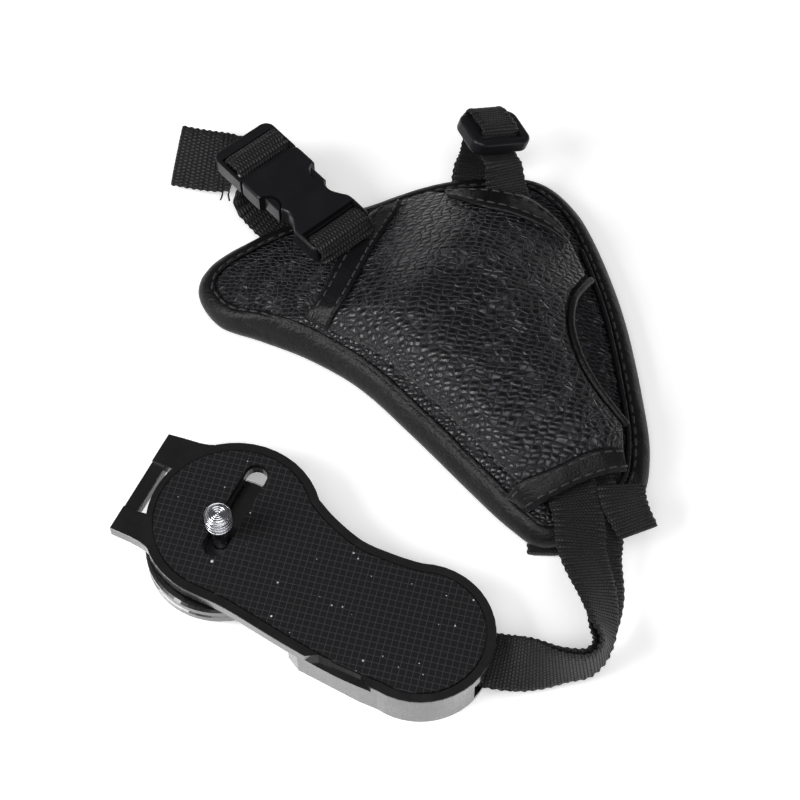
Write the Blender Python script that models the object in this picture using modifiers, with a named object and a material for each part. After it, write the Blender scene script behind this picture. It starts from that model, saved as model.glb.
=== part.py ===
"""Camera hand grip strap: base plate, padded hand piece, webbing and buckles.

All figures are millimetres; make() turns them into metres.
"""
import math

import bpy
import bmesh
import numpy as np
from mathutils import Matrix, Vector

MM = 0.001
GAP = 0.3
ORIGIN = (2.857, 3.355)

# base plate, in its own frame: X along the plate, zero on the left lobe's centre
PLATE_AT = (-39.0, -41.0)
PLATE_TURN = -25.45
PLATE_TOP = 12.0
PLATE_THICK = 3.1
LOBE_R = 20.9
LOBE_C = (-0.4, 0.5)
END_R = 17.3
END_C = (51.4, -6.7)
BAR_X = (-25.2, -21.6)
BAR_HALF = (-13.8, 14.5)
STRAP_SLOT_Y = (-7.2, 6.4)
SLOT_X = -0.9
SLOT_W = 5.2
SLOT_Y = (-9.9, 16.0)
MAT_RIM = 2.1
MAT_THICK = 1.1
MAT_PROUD = 0.25

# camera screw and its wheel, on the slot's line
SCREW_AT = (-0.9, -4.2)
SHANK_R = 2.1
THREAD_R = 3.17
THREAD_PITCH = 1.27
THREAD_Z = (17.0, 22.1)
WHEEL_R = 18.0
WHEEL_TOP = 7.9
FLANGE_R = 4.6
WASHER_THICK = 0.8
SCOOPS = 10

# padded hand piece
PAD_CENTRE = (10.0, 12.0)
PAD_EDGE_Z = 4.4
PAD_ARCH = 6.5
PAD_EDGE_HALF = 1.5
LINING_THICK = 0.8
FOAM_THICK = 3.0
FACE_THICK = 1.0
STACK = LINING_THICK + FOAM_THICK + FACE_THICK + 2 * GAP
BINDING_THICK = 0.9
BINDING_WIDTH = 3.6
SHELL_THICK = 1.2
SHELL_LIFT = 7.5
SHELL_GAP = 2.1
TRIM_THICK = 0.9

# webbing and hardware
WEB_WIDE = 12.5
WEB_THICK = 1.15
LUG_WIDE = 10.4
WRIST_WIDE = 15.6
BUCKLE_WIDE = 18.6
BUCKLE_THICK = 6.2
RAIL = 1.2
NOTCH_X = 21.4
NOTCH_R = 3.6
GLIDE_HALF = (7.6, 6.9)
GLIDE_THICK = 3.0
PIN_R = 1.2
PIN_X = 60.0
PIN_Y = (-13.4, 4.2)
MOUTH_Y = (-11.8, 2.6)


def fresh(name, tint, rough=0.6, metal=0.0):
    mat = bpy.data.materials.new(name)
    mat.use_nodes = True
    shader = mat.node_tree.nodes["Principled BSDF"]
    shader.inputs["Base Color"].default_value = (*tint, 1.0)
    shader.inputs["Roughness"].default_value = rough
    shader.inputs["Metallic"].default_value = metal
    mat.diffuse_color = (*tint, 1.0)
    return mat


def collection(name):
    group = bpy.data.collections.new(name)
    bpy.context.scene.collection.children.link(group)
    return group


for old in list(bpy.data.objects):
    bpy.data.objects.remove(old, do_unlink=True)
PARTS = collection("camera_hand_grip_strap")
CUTTERS = collection("cutters")


def make(name, verts, faces, mat, group=None):
    """A mesh object from millimetre points, normals out, in the parts' collection."""
    mesh = bpy.data.meshes.new(name)
    shift = Vector((*ORIGIN, 0.0)) * MM
    mesh.from_pydata([Vector(v) * MM + shift for v in verts], [], [list(f) for f in faces])
    bm = bmesh.new()
    bm.from_mesh(mesh)
    bmesh.ops.remove_doubles(bm, verts=bm.verts, dist=1e-6)
    bmesh.ops.recalc_face_normals(bm, faces=bm.faces)
    bm.to_mesh(mesh)
    bm.free()
    mesh.materials.append(mat)
    obj = bpy.data.objects.new(name, mesh)
    (group or PARTS).objects.link(obj)
    return obj


def smooth(obj, degrees=35.0):
    """Shades round faces smooth and keeps the edges sharper than the angle."""
    for face in obj.data.polygons:
        face.use_smooth = True
    obj.data.set_sharp_from_angle(angle=math.radians(degrees))
    return obj


def loft(name, rings, mat, closed=False, group=None):
    """Skins a row of equal rings; open rows get a cap at both ends."""
    rings = np.asarray(rings, float)
    count, size = rings.shape[:2]
    faces = []
    for i in range(count if closed else count - 1):
        a, b = i * size, ((i + 1) % count) * size
        for k in range(size):
            m = (k + 1) % size
            faces.append((a + k, a + m, b + m, b + k))
    if not closed:
        faces.append(tuple(range(size)))
        faces.append(tuple(range((count - 1) * size, count * size)))
    return make(name, rings.reshape(-1, 3), faces, mat, group)


def spline(points, steps, closed=False):
    """Catmull-Rom through the points, any number of columns."""
    p = np.asarray(points, float)
    if closed:
        p = np.vstack([p[-1], p, p[0], p[1]])
    else:
        p = np.vstack([2 * p[0] - p[1], p, 2 * p[-1] - p[-2]])
    out = []
    for i in range(1, len(p) - 2):
        for s in range(steps):
            t = s / steps
            out.append(0.5 * (2 * p[i] + (p[i + 1] - p[i - 1]) * t
                              + (2 * p[i - 1] - 5 * p[i] + 4 * p[i + 1] - p[i + 2]) * t ** 2
                              + (3 * p[i] - p[i - 1] - 3 * p[i + 1] + p[i + 2]) * t ** 3))
    if not closed:
        out.append(p[-2])
    return np.array(out)


def frames(stations, steps=4):
    """Path, width direction and normal along webbing given as x, y, z, heading, rise."""
    rows = spline(stations, steps)
    path = rows[:, :3]
    along = np.gradient(path, axis=0)
    along /= np.linalg.norm(along, axis=1)[:, None]
    head, rise = np.radians(rows[:, 3]), np.radians(rows[:, 4])
    across = np.stack([np.cos(head) * np.cos(rise), np.sin(head) * np.cos(rise), np.sin(rise)], 1)
    across -= along * (across * along).sum(1)[:, None]
    across /= np.linalg.norm(across, axis=1)[:, None]
    return path, across, np.cross(across, along), rows[:, 5:]


def skin(name, path, across, up, width, mat, thick):
    """Webbing of one width and thickness along a path, its frame given at each point."""
    w, t = width / 2, thick / 2
    section = ((-w, 0), (-w + t, -t), (w - t, -t), (w, 0), (w - t, t), (-w + t, t))
    rings = [[c + a * x + n * y for x, y in section] for c, a, n in zip(path, across, up)]
    return smooth(loft(name, rings, mat), 50)


def ribbon(name, stations, width, mat, thick=WEB_THICK, steps=4):
    path, across, up = frames(stations, steps)[:3]
    return skin(name, path, across, up, width, mat, thick)


def apply_all(obj):
    """Freezes the modifier stack into the mesh."""
    graph = bpy.context.evaluated_depsgraph_get()
    mesh = bpy.data.meshes.new_from_object(obj.evaluated_get(graph))
    obj.modifiers.clear()
    obj.data = mesh
    return obj


def boolean(obj, other, how="DIFFERENCE", keep=False):
    mod = obj.modifiers.new(how.lower(), "BOOLEAN")
    mod.object = other
    mod.operation = how
    mod.solver = "EXACT"
    bpy.context.view_layer.update()
    apply_all(obj)
    if not keep:
        bpy.data.objects.remove(other, do_unlink=True)
    return obj


def bevel(obj, width, segments=2, angle=40.0):
    mod = obj.modifiers.new("edge_round", "BEVEL")
    mod.width = width * MM
    mod.segments = segments
    mod.limit_method = "ANGLE"
    mod.angle_limit = math.radians(angle)
    bpy.context.view_layer.update()
    return apply_all(obj)


def prism(name, outline, z0, z1, mat, group=None):
    """A filled 2D curve given its thickness by extrusion, standing from z0 to z1."""
    curve = bpy.data.curves.new(name, "CURVE")
    curve.dimensions = "2D"
    curve.fill_mode = "BOTH"
    curve.extrude = (z1 - z0) / 2 * MM
    line = curve.splines.new("POLY")
    line.points.add(len(outline) - 1)
    for point, (x, y) in zip(line.points, outline):
        point.co = ((x + ORIGIN[0]) * MM, (y + ORIGIN[1]) * MM, 0.0, 1.0)
    line.use_cyclic_u = True
    ghost = bpy.data.objects.new(name + "_curve", curve)
    CUTTERS.objects.link(ghost)
    ghost.location.z = (z0 + z1) / 2 * MM
    bpy.context.view_layer.update()
    mesh = bpy.data.meshes.new_from_object(ghost)
    mesh.transform(ghost.matrix_world)
    bpy.data.objects.remove(ghost, do_unlink=True)
    mesh.name = name
    bm = bmesh.new()
    bm.from_mesh(mesh)
    bmesh.ops.remove_doubles(bm, verts=bm.verts, dist=1e-6)
    bmesh.ops.recalc_face_normals(bm, faces=bm.faces)
    bm.to_mesh(mesh)
    bm.free()
    mesh.materials.clear()
    mesh.materials.append(mat)
    obj = bpy.data.objects.new(name, mesh)
    (group or PARTS).objects.link(obj)
    return obj


def lathe(name, profile, at, mat, steps=48, group=None):
    """Spins a radius/height profile, outer side running down, with the Screw modifier."""
    mesh = bpy.data.meshes.new(name)
    pairs = [(i, i + 1) for i in range(len(profile) - 1)]
    mesh.from_pydata([(r * MM, 0.0, z * MM) for r, z in profile], pairs, [])
    mesh.materials.append(mat)
    obj = bpy.data.objects.new(name, mesh)
    (group or PARTS).objects.link(obj)
    mod = obj.modifiers.new("spin", "SCREW")
    mod.axis = "Z"
    mod.angle = math.tau
    mod.steps = steps
    mod.render_steps = steps
    mod.use_merge_vertices = True
    mod.merge_threshold = 0.00001
    bpy.context.view_layer.update()
    apply_all(obj)
    bm = bmesh.new()
    bm.from_mesh(obj.data)
    bmesh.ops.remove_doubles(bm, verts=bm.verts, dist=1e-6)
    bmesh.ops.recalc_face_normals(bm, faces=bm.faces)
    bm.to_mesh(obj.data)
    bm.free()
    obj.location = (at[0] * MM, at[1] * MM, 0.0)
    return smooth(obj, 30)


def block(x0, x1, y0, y1, z0, z1, place=None):
    """A box cutter from its six limits, in the frame that place turns into the world."""
    corners = [(x0, y0), (x1, y0), (x1, y1), (x0, y1)]
    pts = [(*(place(c) if place else c), z) for z in (z0, z1) for c in corners]
    faces = [(0, 1, 2, 3), (4, 5, 6, 7), (0, 1, 5, 4), (1, 2, 6, 5), (2, 3, 7, 6), (3, 0, 4, 7)]
    return make("cutter", pts, faces, CUTTER_MAT, CUTTERS)


def rod(name, a, b, radius, mat, sides=20, group=None):
    """A cylinder between two points."""
    a, b = np.asarray(a, float), np.asarray(b, float)
    axis = (b - a) / np.linalg.norm(b - a)
    side = np.cross(axis, (0.0, 0.0, 1.0))
    if np.linalg.norm(side) < 1e-6:
        side = np.array((1.0, 0.0, 0.0))
    side /= np.linalg.norm(side)
    other = np.cross(axis, side)
    turn = np.arange(sides) * math.tau / sides
    ring = radius * (np.cos(turn)[:, None] * side + np.sin(turn)[:, None] * other)
    return smooth(loft(name, [ring + a, ring + b], mat, group=group), 50)


def tube(name, path, radius, mat, sides=8):
    """A round cord of leather tape following a path, capped at both ends."""
    path = np.asarray(path, float)
    along = np.gradient(path, axis=0)
    along /= np.linalg.norm(along, axis=1)[:, None]
    turn = np.arange(sides) * math.tau / sides
    rings = []
    for c, t in zip(path, along):
        side = np.cross(t, (0.0, 0.0, 1.0))
        side /= np.linalg.norm(side)
        up = np.cross(side, t)
        rings.append([c + radius * (math.cos(a) * side + math.sin(a) * up) for a in turn])
    return smooth(loft(name, rings, mat), 60)


CUTTER_MAT = fresh("cutter", (0.8, 0.2, 0.1))
ABS = fresh("abs_plate", (0.02, 0.02, 0.022), 0.35)
RUBBER = fresh("rubber_mat", (0.012, 0.012, 0.014), 0.85)
STEEL = fresh("plated_steel", (0.75, 0.75, 0.77), 0.2, 1.0)
ACETAL = fresh("acetal_buckle", (0.022, 0.022, 0.024), 0.42)
LEATHER = fresh("pebbled_leather", (0.018, 0.017, 0.02), 0.5)
SMOOTH = fresh("smooth_leather", (0.022, 0.021, 0.025), 0.45)
LINING = fresh("lining_cloth", (0.015, 0.015, 0.017), 0.9)
FOAM = fresh("foam", (0.05, 0.05, 0.055), 0.95)
NYLON = fresh("nylon_webbing", (0.014, 0.014, 0.015), 0.8)


def plate(p):
    """Plate frame to world, for a point or a row of points."""
    q = np.atleast_2d(np.asarray(p, float))
    a = math.radians(PLATE_TURN)
    x = PLATE_AT[0] + q[:, 0] * math.cos(a) - q[:, 1] * math.sin(a)
    y = PLATE_AT[1] + q[:, 0] * math.sin(a) + q[:, 1] * math.cos(a)
    out = np.stack([x, y], 1)
    return out if np.ndim(p) > 1 else out[0]


def arc(centre, radius, start, stop, count):
    turn = np.radians(np.linspace(start, stop, count))
    return np.stack([centre[0] + radius * np.cos(turn), centre[1] + radius * np.sin(turn)], 1)


def body_outline(inset=0.0):
    """Two lobes joined by a waist: hollow on the upper side, nearly straight below."""
    left = arc(LOBE_C, LOBE_R, 272, 40, 30)
    waist = spline([left[-1], (21.2, 11.2), (29.5, 8.6), (37.5, 8.5), (44.2, 9.1)], 5)[1:-1]
    right = arc(END_C, END_R, 112, -98, 26)
    sole = spline([right[-1], (38.0, -23.9), (24.0, -22.6), (9.0, -20.6), left[0]], 4)[1:-1]
    line = np.vstack([left, waist, right, sole])
    if inset:
        ahead = np.roll(line, -1, 0) - np.roll(line, 1, 0)
        ahead /= np.linalg.norm(ahead, axis=1)[:, None]
        line = line + inset * np.stack([ahead[:, 1], -ahead[:, 0]], 1)
    return line


# Base plate: moulded shell with a recess for the mat, a slot for the camera screw and a strap bar.
floor_z = PLATE_TOP - PLATE_THICK
body = prism("base_plate", plate(body_outline()), floor_z, PLATE_TOP, ABS)
ear = np.vstack([[(BAR_X[0], BAR_HALF[1])],
                 spline([(-21.0, 15.1), (-15.2, 16.0), (-9.7, 18.6), (-5.0, 20.4)], 3),
                 [(-2.0, 10.0), (-2.0, -10.0)],
                 spline([(-6.0, -19.0), (-11.5, -16.6), (-15.4, -14.4), (-20.0, -13.8)], 3),
                 [(BAR_X[0], BAR_HALF[0])]])
boolean(body, prism("ear", plate(ear), floor_z, PLATE_TOP, ABS, CUTTERS), "UNION")
bevel(body, 0.45, 2, 60)
strap_slot = np.vstack([[(BAR_X[1], STRAP_SLOT_Y[0]), (BAR_X[1], STRAP_SLOT_Y[1])],
                        arc(LOBE_C, LOBE_R - 0.6, 163, 201, 9)])
boolean(body, prism("strap_slot", plate(strap_slot), floor_z - 2, PLATE_TOP + 2, ABS, CUTTERS))
boolean(body, block(BAR_X[0] - 2, BAR_X[1], *STRAP_SLOT_Y, PLATE_TOP - 0.7, PLATE_TOP + 2, plate))
boolean(body, prism("mat_recess", plate(body_outline(MAT_RIM)),
                    PLATE_TOP - MAT_THICK + MAT_PROUD, PLATE_TOP + 2, ABS, CUTTERS))
slot_line = np.vstack([arc((SLOT_X, SLOT_Y[1] - SLOT_W / 2), SLOT_W / 2, 0, 180, 10),
                       arc((SLOT_X, SLOT_Y[0] + SLOT_W / 2), SLOT_W / 2, 180, 360, 10)])
boolean(body, prism("screw_slot", plate(slot_line), floor_z - 2, PLATE_TOP + 2, ABS, CUTTERS))
notch = [(30.0, -26.0), (30.0, -23.6), (33.2, -21.7), (43.8, -21.7), (48.2, -24.4), (48.2, -26.0)]
boolean(body, prism("rim_notch", plate(notch), floor_z + 1.0, PLATE_TOP + 2, ABS, CUTTERS))
smooth(body, 40)

# Mat: sheet of grippy rubber laid in the recess, slotted like the plate.
mat = prism("rubber_mat", plate(body_outline(MAT_RIM + GAP)),
            PLATE_TOP - MAT_THICK + MAT_PROUD + GAP, PLATE_TOP + MAT_PROUD, RUBBER)
wide_slot = np.vstack([arc((SLOT_X, SLOT_Y[1] - SLOT_W / 2), SLOT_W / 2 + GAP, 0, 180, 10),
                       arc((SLOT_X, SLOT_Y[0] + SLOT_W / 2), SLOT_W / 2 + GAP, 180, 360, 10)])
boolean(mat, prism("mat_slot", plate(wide_slot), 0, PLATE_TOP + 5, ABS, CUTTERS))
smooth(mat, 40)

# Cover: hollow moulding screwed under the far lobe; it holds the strap's pin.
cover_top = floor_z - GAP
cover_line = np.vstack([arc(END_C, END_R - 0.5, 100, -100, 30),
                        spline([(44.0, -23.4), (36.0, -22.9), (28.0, -22.4)], 3),
                        spline([(24.6, -20.6), (23.8, -16.0), (26.5, -6.0), (33.0, 3.0), (41.0, 7.4)], 4)])
cover = prism("strap_cover", plate(cover_line), 0.0, cover_top, ABS)
bevel(cover, 1.4, 3, 60)
boolean(cover, block(PIN_X - 4.2, PIN_X + 30, *MOUTH_Y, 1.3, 7.7, plate))
pin_ends = [np.array([*plate((PIN_X, y)), 4.5]) for y in PIN_Y]
boolean(cover, rod("pin_hole", pin_ends[0], pin_ends[1], PIN_R + GAP, ABS, group=CUTTERS))
COVER_SCREWS = ((33.0, -12.0), (50.0, -18.5))
for x, y in COVER_SCREWS:
    hole = lathe("hole", [(0, 9.5), (1.3, 9.5), (1.3, 2.2), (2.5, 2.2), (2.5, -1.0), (0, -1.0)],
                 plate((x, y)) + ORIGIN, ABS, 20, CUTTERS)
    boolean(cover, hole)
    hole = lathe("hole", [(0, 10.2), (1.3, 10.2), (1.3, 7.0), (0, 7.0)],
                 plate((x, y)) + ORIGIN, ABS, 20, CUTTERS)
    boolean(body, hole)
smooth(cover, 40)

# Cover screws: pan-head steel screws in counterbores, up into the plate.
for i, (x, y) in enumerate(COVER_SCREWS):
    lathe("cover_screw_%d" % (i + 1),
          [(0, 9.9), (1.0, 9.9), (1.0, 1.9), (2.2, 1.9), (2.2, 0.9), (1.7, 0.5), (0, 0.5)],
          plate((x, y)) + ORIGIN, STEEL, 20)

# Strap pin: steel rod across the cover's mouth, the webbing turns round it.
inner = [p + (pin_ends[1] - pin_ends[0]) * s for p, s in ((pin_ends[0], 0.02), (pin_ends[1], -0.02))]
rod("strap_pin", inner[0], inner[1], PIN_R, STEEL)

# Camera screw: quarter-inch thread above a plain captive shank with a flange under the plate.
low = THREAD_Z[0]
turns = []
while low < THREAD_Z[1] - 0.7:
    turns += [(THREAD_R - 0.6, low), (THREAD_R, low + THREAD_PITCH * 0.36),
              (THREAD_R, low + THREAD_PITCH * 0.6)]
    low += THREAD_PITCH
profile = [(0, THREAD_Z[1]), (2.2, THREAD_Z[1]), (2.75, THREAD_Z[1] - 0.4)]
profile += [p for p in turns[::-1] if p[1] < THREAD_Z[1] - 0.5]
flange_top = floor_z - 2 * GAP - WASHER_THICK
profile += [(SHANK_R, THREAD_Z[0] - 0.4), (SHANK_R, flange_top), (FLANGE_R, flange_top),
            (FLANGE_R, WHEEL_TOP + GAP - 1.5), (SHANK_R, WHEEL_TOP + GAP - 1.5), (SHANK_R, 1.0), (0, 1.0)]
screw_xy = plate(SCREW_AT) + ORIGIN
lathe("camera_screw", profile, screw_xy, STEEL, 32)

# Slide washer: rides with the screw along the slot, between its flange and the plate.
lathe("slide_washer", [(SHANK_R + GAP, floor_z - GAP), (FLANGE_R, floor_z - GAP),
                       (FLANGE_R, flange_top + GAP), (SHANK_R + GAP, flange_top + GAP),
                       (SHANK_R + GAP, floor_z - GAP)], screw_xy, ACETAL, 32)

# Thumb wheel: two-tier ABS disc with a lobed grip below, pressed on the shank.
WHEEL = [(SHANK_R + GAP, WHEEL_TOP - 1.5), (FLANGE_R + GAP, WHEEL_TOP - 1.5), (FLANGE_R + GAP, WHEEL_TOP),
         (WHEEL_R - 0.6, WHEEL_TOP), (WHEEL_R, WHEEL_TOP - 0.5), (WHEEL_R, 5.9), (WHEEL_R - 0.7, 5.5),
         (WHEEL_R - 0.7, 5.1), (WHEEL_R, 4.7), (WHEEL_R, 3.1), (WHEEL_R - 0.5, 2.7),
         (WHEEL_R - 1.2, 2.7), (WHEEL_R - 1.2, 0.5), (WHEEL_R - 1.7, 0.0), (SHANK_R + GAP, 0.0),
         (SHANK_R + GAP, WHEEL_TOP - 1.5)]
wheel = lathe("thumb_wheel", WHEEL, screw_xy, ABS, 60)
for i in range(SCOOPS):
    turn = math.tau * (i + 0.47) / SCOOPS
    spot = plate(SCREW_AT) + np.array([math.cos(turn), math.sin(turn)]) * (WHEEL_R + 0.6)
    scoop = rod("scoop", (*spot, -1.0), (*spot, 2.55), 3.1, ABS, 18, CUTTERS)
    scoop.data.transform(Matrix.Translation(-Vector((*screw_xy, 0.0)) * MM))
    scoop.location = wheel.location
    boolean(wheel, scoop)
smooth(wheel, 35)


def pad_outline():
    """The hand piece's edge seen from above, left tip first, running clockwise."""
    return spline([(-51.3, 29.3), (-49.8, 37.4), (-42.4, 44.6), (-28.9, 51.8), (-10.0, 55.2),
                   (0.0, 59.0), (11.4, 63.0), (23.9, 64.4), (35.1, 63.0), (44.5, 55.0), (51.0, 41.2),
                   (56.2, 21.0), (59.4, -1.3), (60.2, -18.9), (56.4, -31.2), (45.4, -38.8),
                   (34.3, -42.6), (26.5, -38.0), (15.8, -26.6), (3.9, -12.0), (-8.4, 2.8),
                   (-22.0, 10.2), (-35.2, 15.3), (-46.1, 19.9)], 3, True)


EDGE = pad_outline()
CENTRE = np.array(PAD_CENTRE)
_out = np.roll(EDGE, -1, 0) - np.roll(EDGE, 1, 0)
_out /= np.linalg.norm(_out, axis=1)[:, None]
OUTWARD = np.stack([-_out[:, 1], _out[:, 0]], 1)
_rel = EDGE - CENTRE
_ang = np.arctan2(_rel[:, 1], _rel[:, 0])
_order = np.argsort(_ang)
_reach = np.linalg.norm(_rel, axis=1)


def reach(x, y):
    """How far out a point lies, 0 at the pad's centre and 1 on its edge."""
    turn = np.arctan2(y - CENTRE[1], x - CENTRE[0])
    r = np.interp(turn, _ang[_order], _reach[_order], period=math.tau)
    return np.hypot(x - CENTRE[0], y - CENTRE[1]) / r


def pad_z(x, y, lift=0.0):
    """Mid-height of the padded stack: the hand piece arches over the back of the hand."""
    rho = min(reach(x, y), 1.03)
    return PAD_EDGE_Z + PAD_ARCH * (1 - rho ** 2) + lift


def half(x, y):
    """Half the padded stack, pressed thin where the binding is sewn."""
    return PAD_EDGE_HALF + (STACK / 2 - PAD_EDGE_HALF) * (1 - min(reach(x, y), 1.0) ** 8)


def shell_z(x, y, lift=0.0):
    """Underside of the leather sleeve: sewn low at the buckle side, standing off elsewhere."""
    rho = min(reach(x, y), 1.0)
    s = min(max(((x + 16.0) * 0.894 - (y - 28.0) * 0.447) / 26.0, 0.0), 1.0)
    stand = SHELL_GAP + SHELL_LIFT * s * s * (3 - 2 * s)
    fall = 2.5 + 3.5 * min(max((30.0 - y) / 50.0, 0.0), 1.0)
    return pad_z(x, y) + half(x, y) + GAP + stand * (1 - rho ** fall) + lift


def fan(name, inset, low, high, mat, rings=5):
    """A panel filling the pad's outline between two heights over the arch."""
    rim = EDGE - OUTWARD * inset
    count = len(rim)
    verts, faces = [], []
    for height in (low, high):
        verts.append((*CENTRE, height(*CENTRE)))
        for k in range(1, rings + 1):
            for p in CENTRE + (rim - CENTRE) * (k / rings):
                verts.append((*p, height(*p)))
    size = 1 + rings * count
    for base, flip in ((0, 0), (size, 1)):
        for i in range(count):
            j = (i + 1) % count
            faces.append((base, base + 1 + i, base + 1 + j))
            for k in range(rings - 1):
                a, b = base + 1 + k * count, base + 1 + (k + 1) * count
                faces.append((a + i, b + i, b + j, a + j))
    last = 1 + (rings - 1) * count
    for i in range(count):
        j = (i + 1) % count
        faces.append((last + i, last + j, size + last + j, size + last + i))
    return make(name, verts, faces, mat)


# Padded stack: cloth lining against the hand, foam, then the pebbled face.
smooth(fan("palm_lining", 1.2, lambda x, y: pad_z(x, y, -half(x, y)),
           lambda x, y: pad_z(x, y, LINING_THICK - half(x, y)), LINING))
smooth(fan("foam_core", 1.2, lambda x, y: pad_z(x, y, LINING_THICK + GAP - half(x, y)),
           lambda x, y: pad_z(x, y, half(x, y) - FACE_THICK - GAP), FOAM))
smooth(fan("face_panel", 1.2, lambda x, y: pad_z(x, y, half(x, y) - FACE_THICK),
           lambda x, y: pad_z(x, y, half(x, y)), LEATHER))

# Edge binding: smooth tape folded round the stack's edge and stitched through.
rings = []
for p, n in zip(EDGE, OUTWARD):
    def at(inset, level, extra):
        q = p - n * inset
        return (*q, pad_z(*q) + level * (half(*q) + GAP + extra))
    rings.append([at(BINDING_WIDTH, 1, 0.1), at(BINDING_WIDTH - 0.2, 1, BINDING_THICK),
                  at(1.8, 1, BINDING_THICK), at(0.2, 0.85, BINDING_THICK), at(-0.7, 0.45, BINDING_THICK),
                  at(-0.9, 0, 0), at(-0.7, -0.45, BINDING_THICK), at(0.2, -0.85, BINDING_THICK),
                  at(1.8, -1, BINDING_THICK), at(BINDING_WIDTH - 0.2, -1, BINDING_THICK),
                  at(BINDING_WIDTH, -1, 0.1), at(2.2, -1, 0.1), at(0.85, -1, 0.1), at(0.85, 1, 0.1),
                  at(2.2, 1, 0.1)])
smooth(loft("edge_binding", rings, SMOOTH, closed=True), 50)

# Leather sleeve: pebbled shell over the stack; webbing leaves from its mouths, a cut-out opens one side.
CROWN = [(11.0, 56.4), (14.5, 56.0), (19.4, 55.2), (26.6, 52.8), (32.6, 51.2), (38.7, 46.2), (42.9, 40.4)]
CUT = [(46.9, 28.6), (45.0, 25.4), (41.9, 19.3), (40.5, 12.5), (40.7, 6.0), (42.7, -1.8),
       (45.9, -8.3), (49.6, -13.1), (53.2, -16.6)]
MOUTH = [(53.2, -27.6), (50.4, -28.9), (41.8, -32.4), (36.6, -34.6), (31.4, -35.9)]
sewn = EDGE - OUTWARD * (BINDING_WIDTH + 0.3)
lower = sorted((tuple(p) for p in sewn if -20.0 < p[0] < 26.5 and p[1] < 16.0), key=lambda p: -p[0])
upper = sorted((tuple(p) for p in sewn if -4.0 < p[0] < 8.5 and p[1] > 30.0), key=lambda p: p[0])
shell_line = np.vstack([[(-6.4, 51.4)], upper, spline(CROWN, 3), [(45.4, 33.4)], spline(CUT, 3),
                        spline(MOUTH, 3), lower])
shell_line[-1] = (-22.4, 15.2)
shell = fan("shell_panel", 1.2, lambda x, y: shell_z(x, y), lambda x, y: shell_z(x, y, SHELL_THICK),
            LEATHER, 7)
boolean(shell, prism("shell_cut", shell_line, 0, 60, LEATHER, CUTTERS), "INTERSECT")
smooth(shell, 40)


def strip(name, left, right, height, thick, mat, across=3, steps=4):
    """Tape lying between two edge lines on the sleeve, following its height."""
    a, b = spline(left, steps), spline(right, steps)
    rings = []
    for p, q in zip(a, b):
        row = [p + (q - p) * k / across for k in range(across + 1)]
        rings.append([(*r, height(*r)) for r in row] + [(*r, height(*r) + thick) for r in row[::-1]])
    return smooth(loft(name, rings, mat), 50)


def on_shell(x, y):
    return shell_z(x, y, SHELL_THICK + 2 * GAP)


# Smooth leather tapes bind the sleeve's three straight mouths.
strip("buckle_side_trim", [(-6.4, 51.4), (-8.7, 48.6), (-13.9, 36.5), (-19.5, 22.2), (-23.4, 15.4)],
      [(0.6, 54.6), (-0.8, 49.6), (-6.6, 35.8), (-12.8, 19.7), (-18.0, 12.0)], on_shell, TRIM_THICK, SMOOTH, 3)
strip("crown_trim", [(12.4, 52.6), (20.9, 45.6), (28.6, 43.0), (33.8, 41.3), (38.4, 39.7), (42.4, 37.0)],
      [(11.6, 56.6), (19.4, 55.5), (26.6, 53.2), (32.7, 51.5), (39.0, 46.4), (43.3, 40.4)], on_shell,
      TRIM_THICK, SMOOTH, 3)
strip("mouth_trim", [(24.8, -34.4), (31.7, -31.9), (37.6, -29.2), (44.0, -25.8), (52.7, -22.9)],
      [(30.2, -38.6), (36.1, -35.9), (41.8, -32.8), (50.4, -29.2), (53.6, -28.0)], on_shell,
      TRIM_THICK, SMOOTH, 3)

# Side piping: rolled tape sewn along the cut-out's edge.
cut = spline(CUT, 3)
ahead = np.gradient(cut, axis=0)
ahead /= np.linalg.norm(ahead, axis=1)[:, None]
cut += 1.4 * np.stack([-ahead[:, 1], ahead[:, 0]], 1)
tube("side_piping", [(*p, shell_z(*p, 0.5)) for p in cut], 1.0, SMOOTH)

# Seam piping: thin cord of tape where the face meets the far binding.
seam = (EDGE - OUTWARD * (BINDING_WIDTH + 1.1))[30:43]
tube("seam_piping", [(*p, pad_z(*p) + half(*p) + GAP + 0.7) for p in seam], 0.7, SMOOTH)

# Strap from the hand piece to the plate: one length of webbing, doubled round the cover's pin.
# Columns: x, y, z, width heading, width rise, then how far the return lies beside and below.
STRAP = [(36.5, -14.0, 14.6, 12, -2, 6.0, 1.8), (38.4, -24.0, 13.0, 22, -3, 5.8, 1.8),
         (40.4, -32.0, 12.0, 30, -3, 5.2, 1.8), (41.8, -40.0, 12.2, 34, -9, 5.0, 1.8),
         (42.2, -49.0, 12.2, 29, -17, 4.8, 1.8), (44.6, -59.0, 11.6, 32, -28, 4.0, 1.8),
         (45.6, -66.5, 10.8, 18, -50, 2.8, 1.9), (44.3, -72.0, 10.2, -10, -70, 1.6, 1.9),
         (40.6, -75.2, 9.4, -50, -72, 1.0, 1.9), (35.6, -76.0, 8.3, -82, -48, 0.8, 1.9),
         (30.0, -75.8, 7.5, -98, -18, 0.6, 2.4), (22.0, -74.4, 6.8, -112, -3, 0.0, 3.6),
         (13.2, -70.9, 6.6, -115.45, 0, 0.0, 4.2)]
path, across, up, extra = frames(STRAP)
pin_mid = (pin_ends[0] + pin_ends[1]) / 2
turn_r = PIN_R + GAP + WEB_THICK / 2
back = -np.array([*(plate((1, 0)) - plate((0, 0))), 0.0])
side = 1.0 if up[6][2] > 0 else -1.0
lift = np.array((0.0, 0.0, 1.0))
spokes = np.array([math.sin(a) * back + math.cos(a) * lift for a in np.radians(np.linspace(0, 180, 9))])
returns = path + across * extra[:, :1] - side * up * extra[:, 1:]
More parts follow.
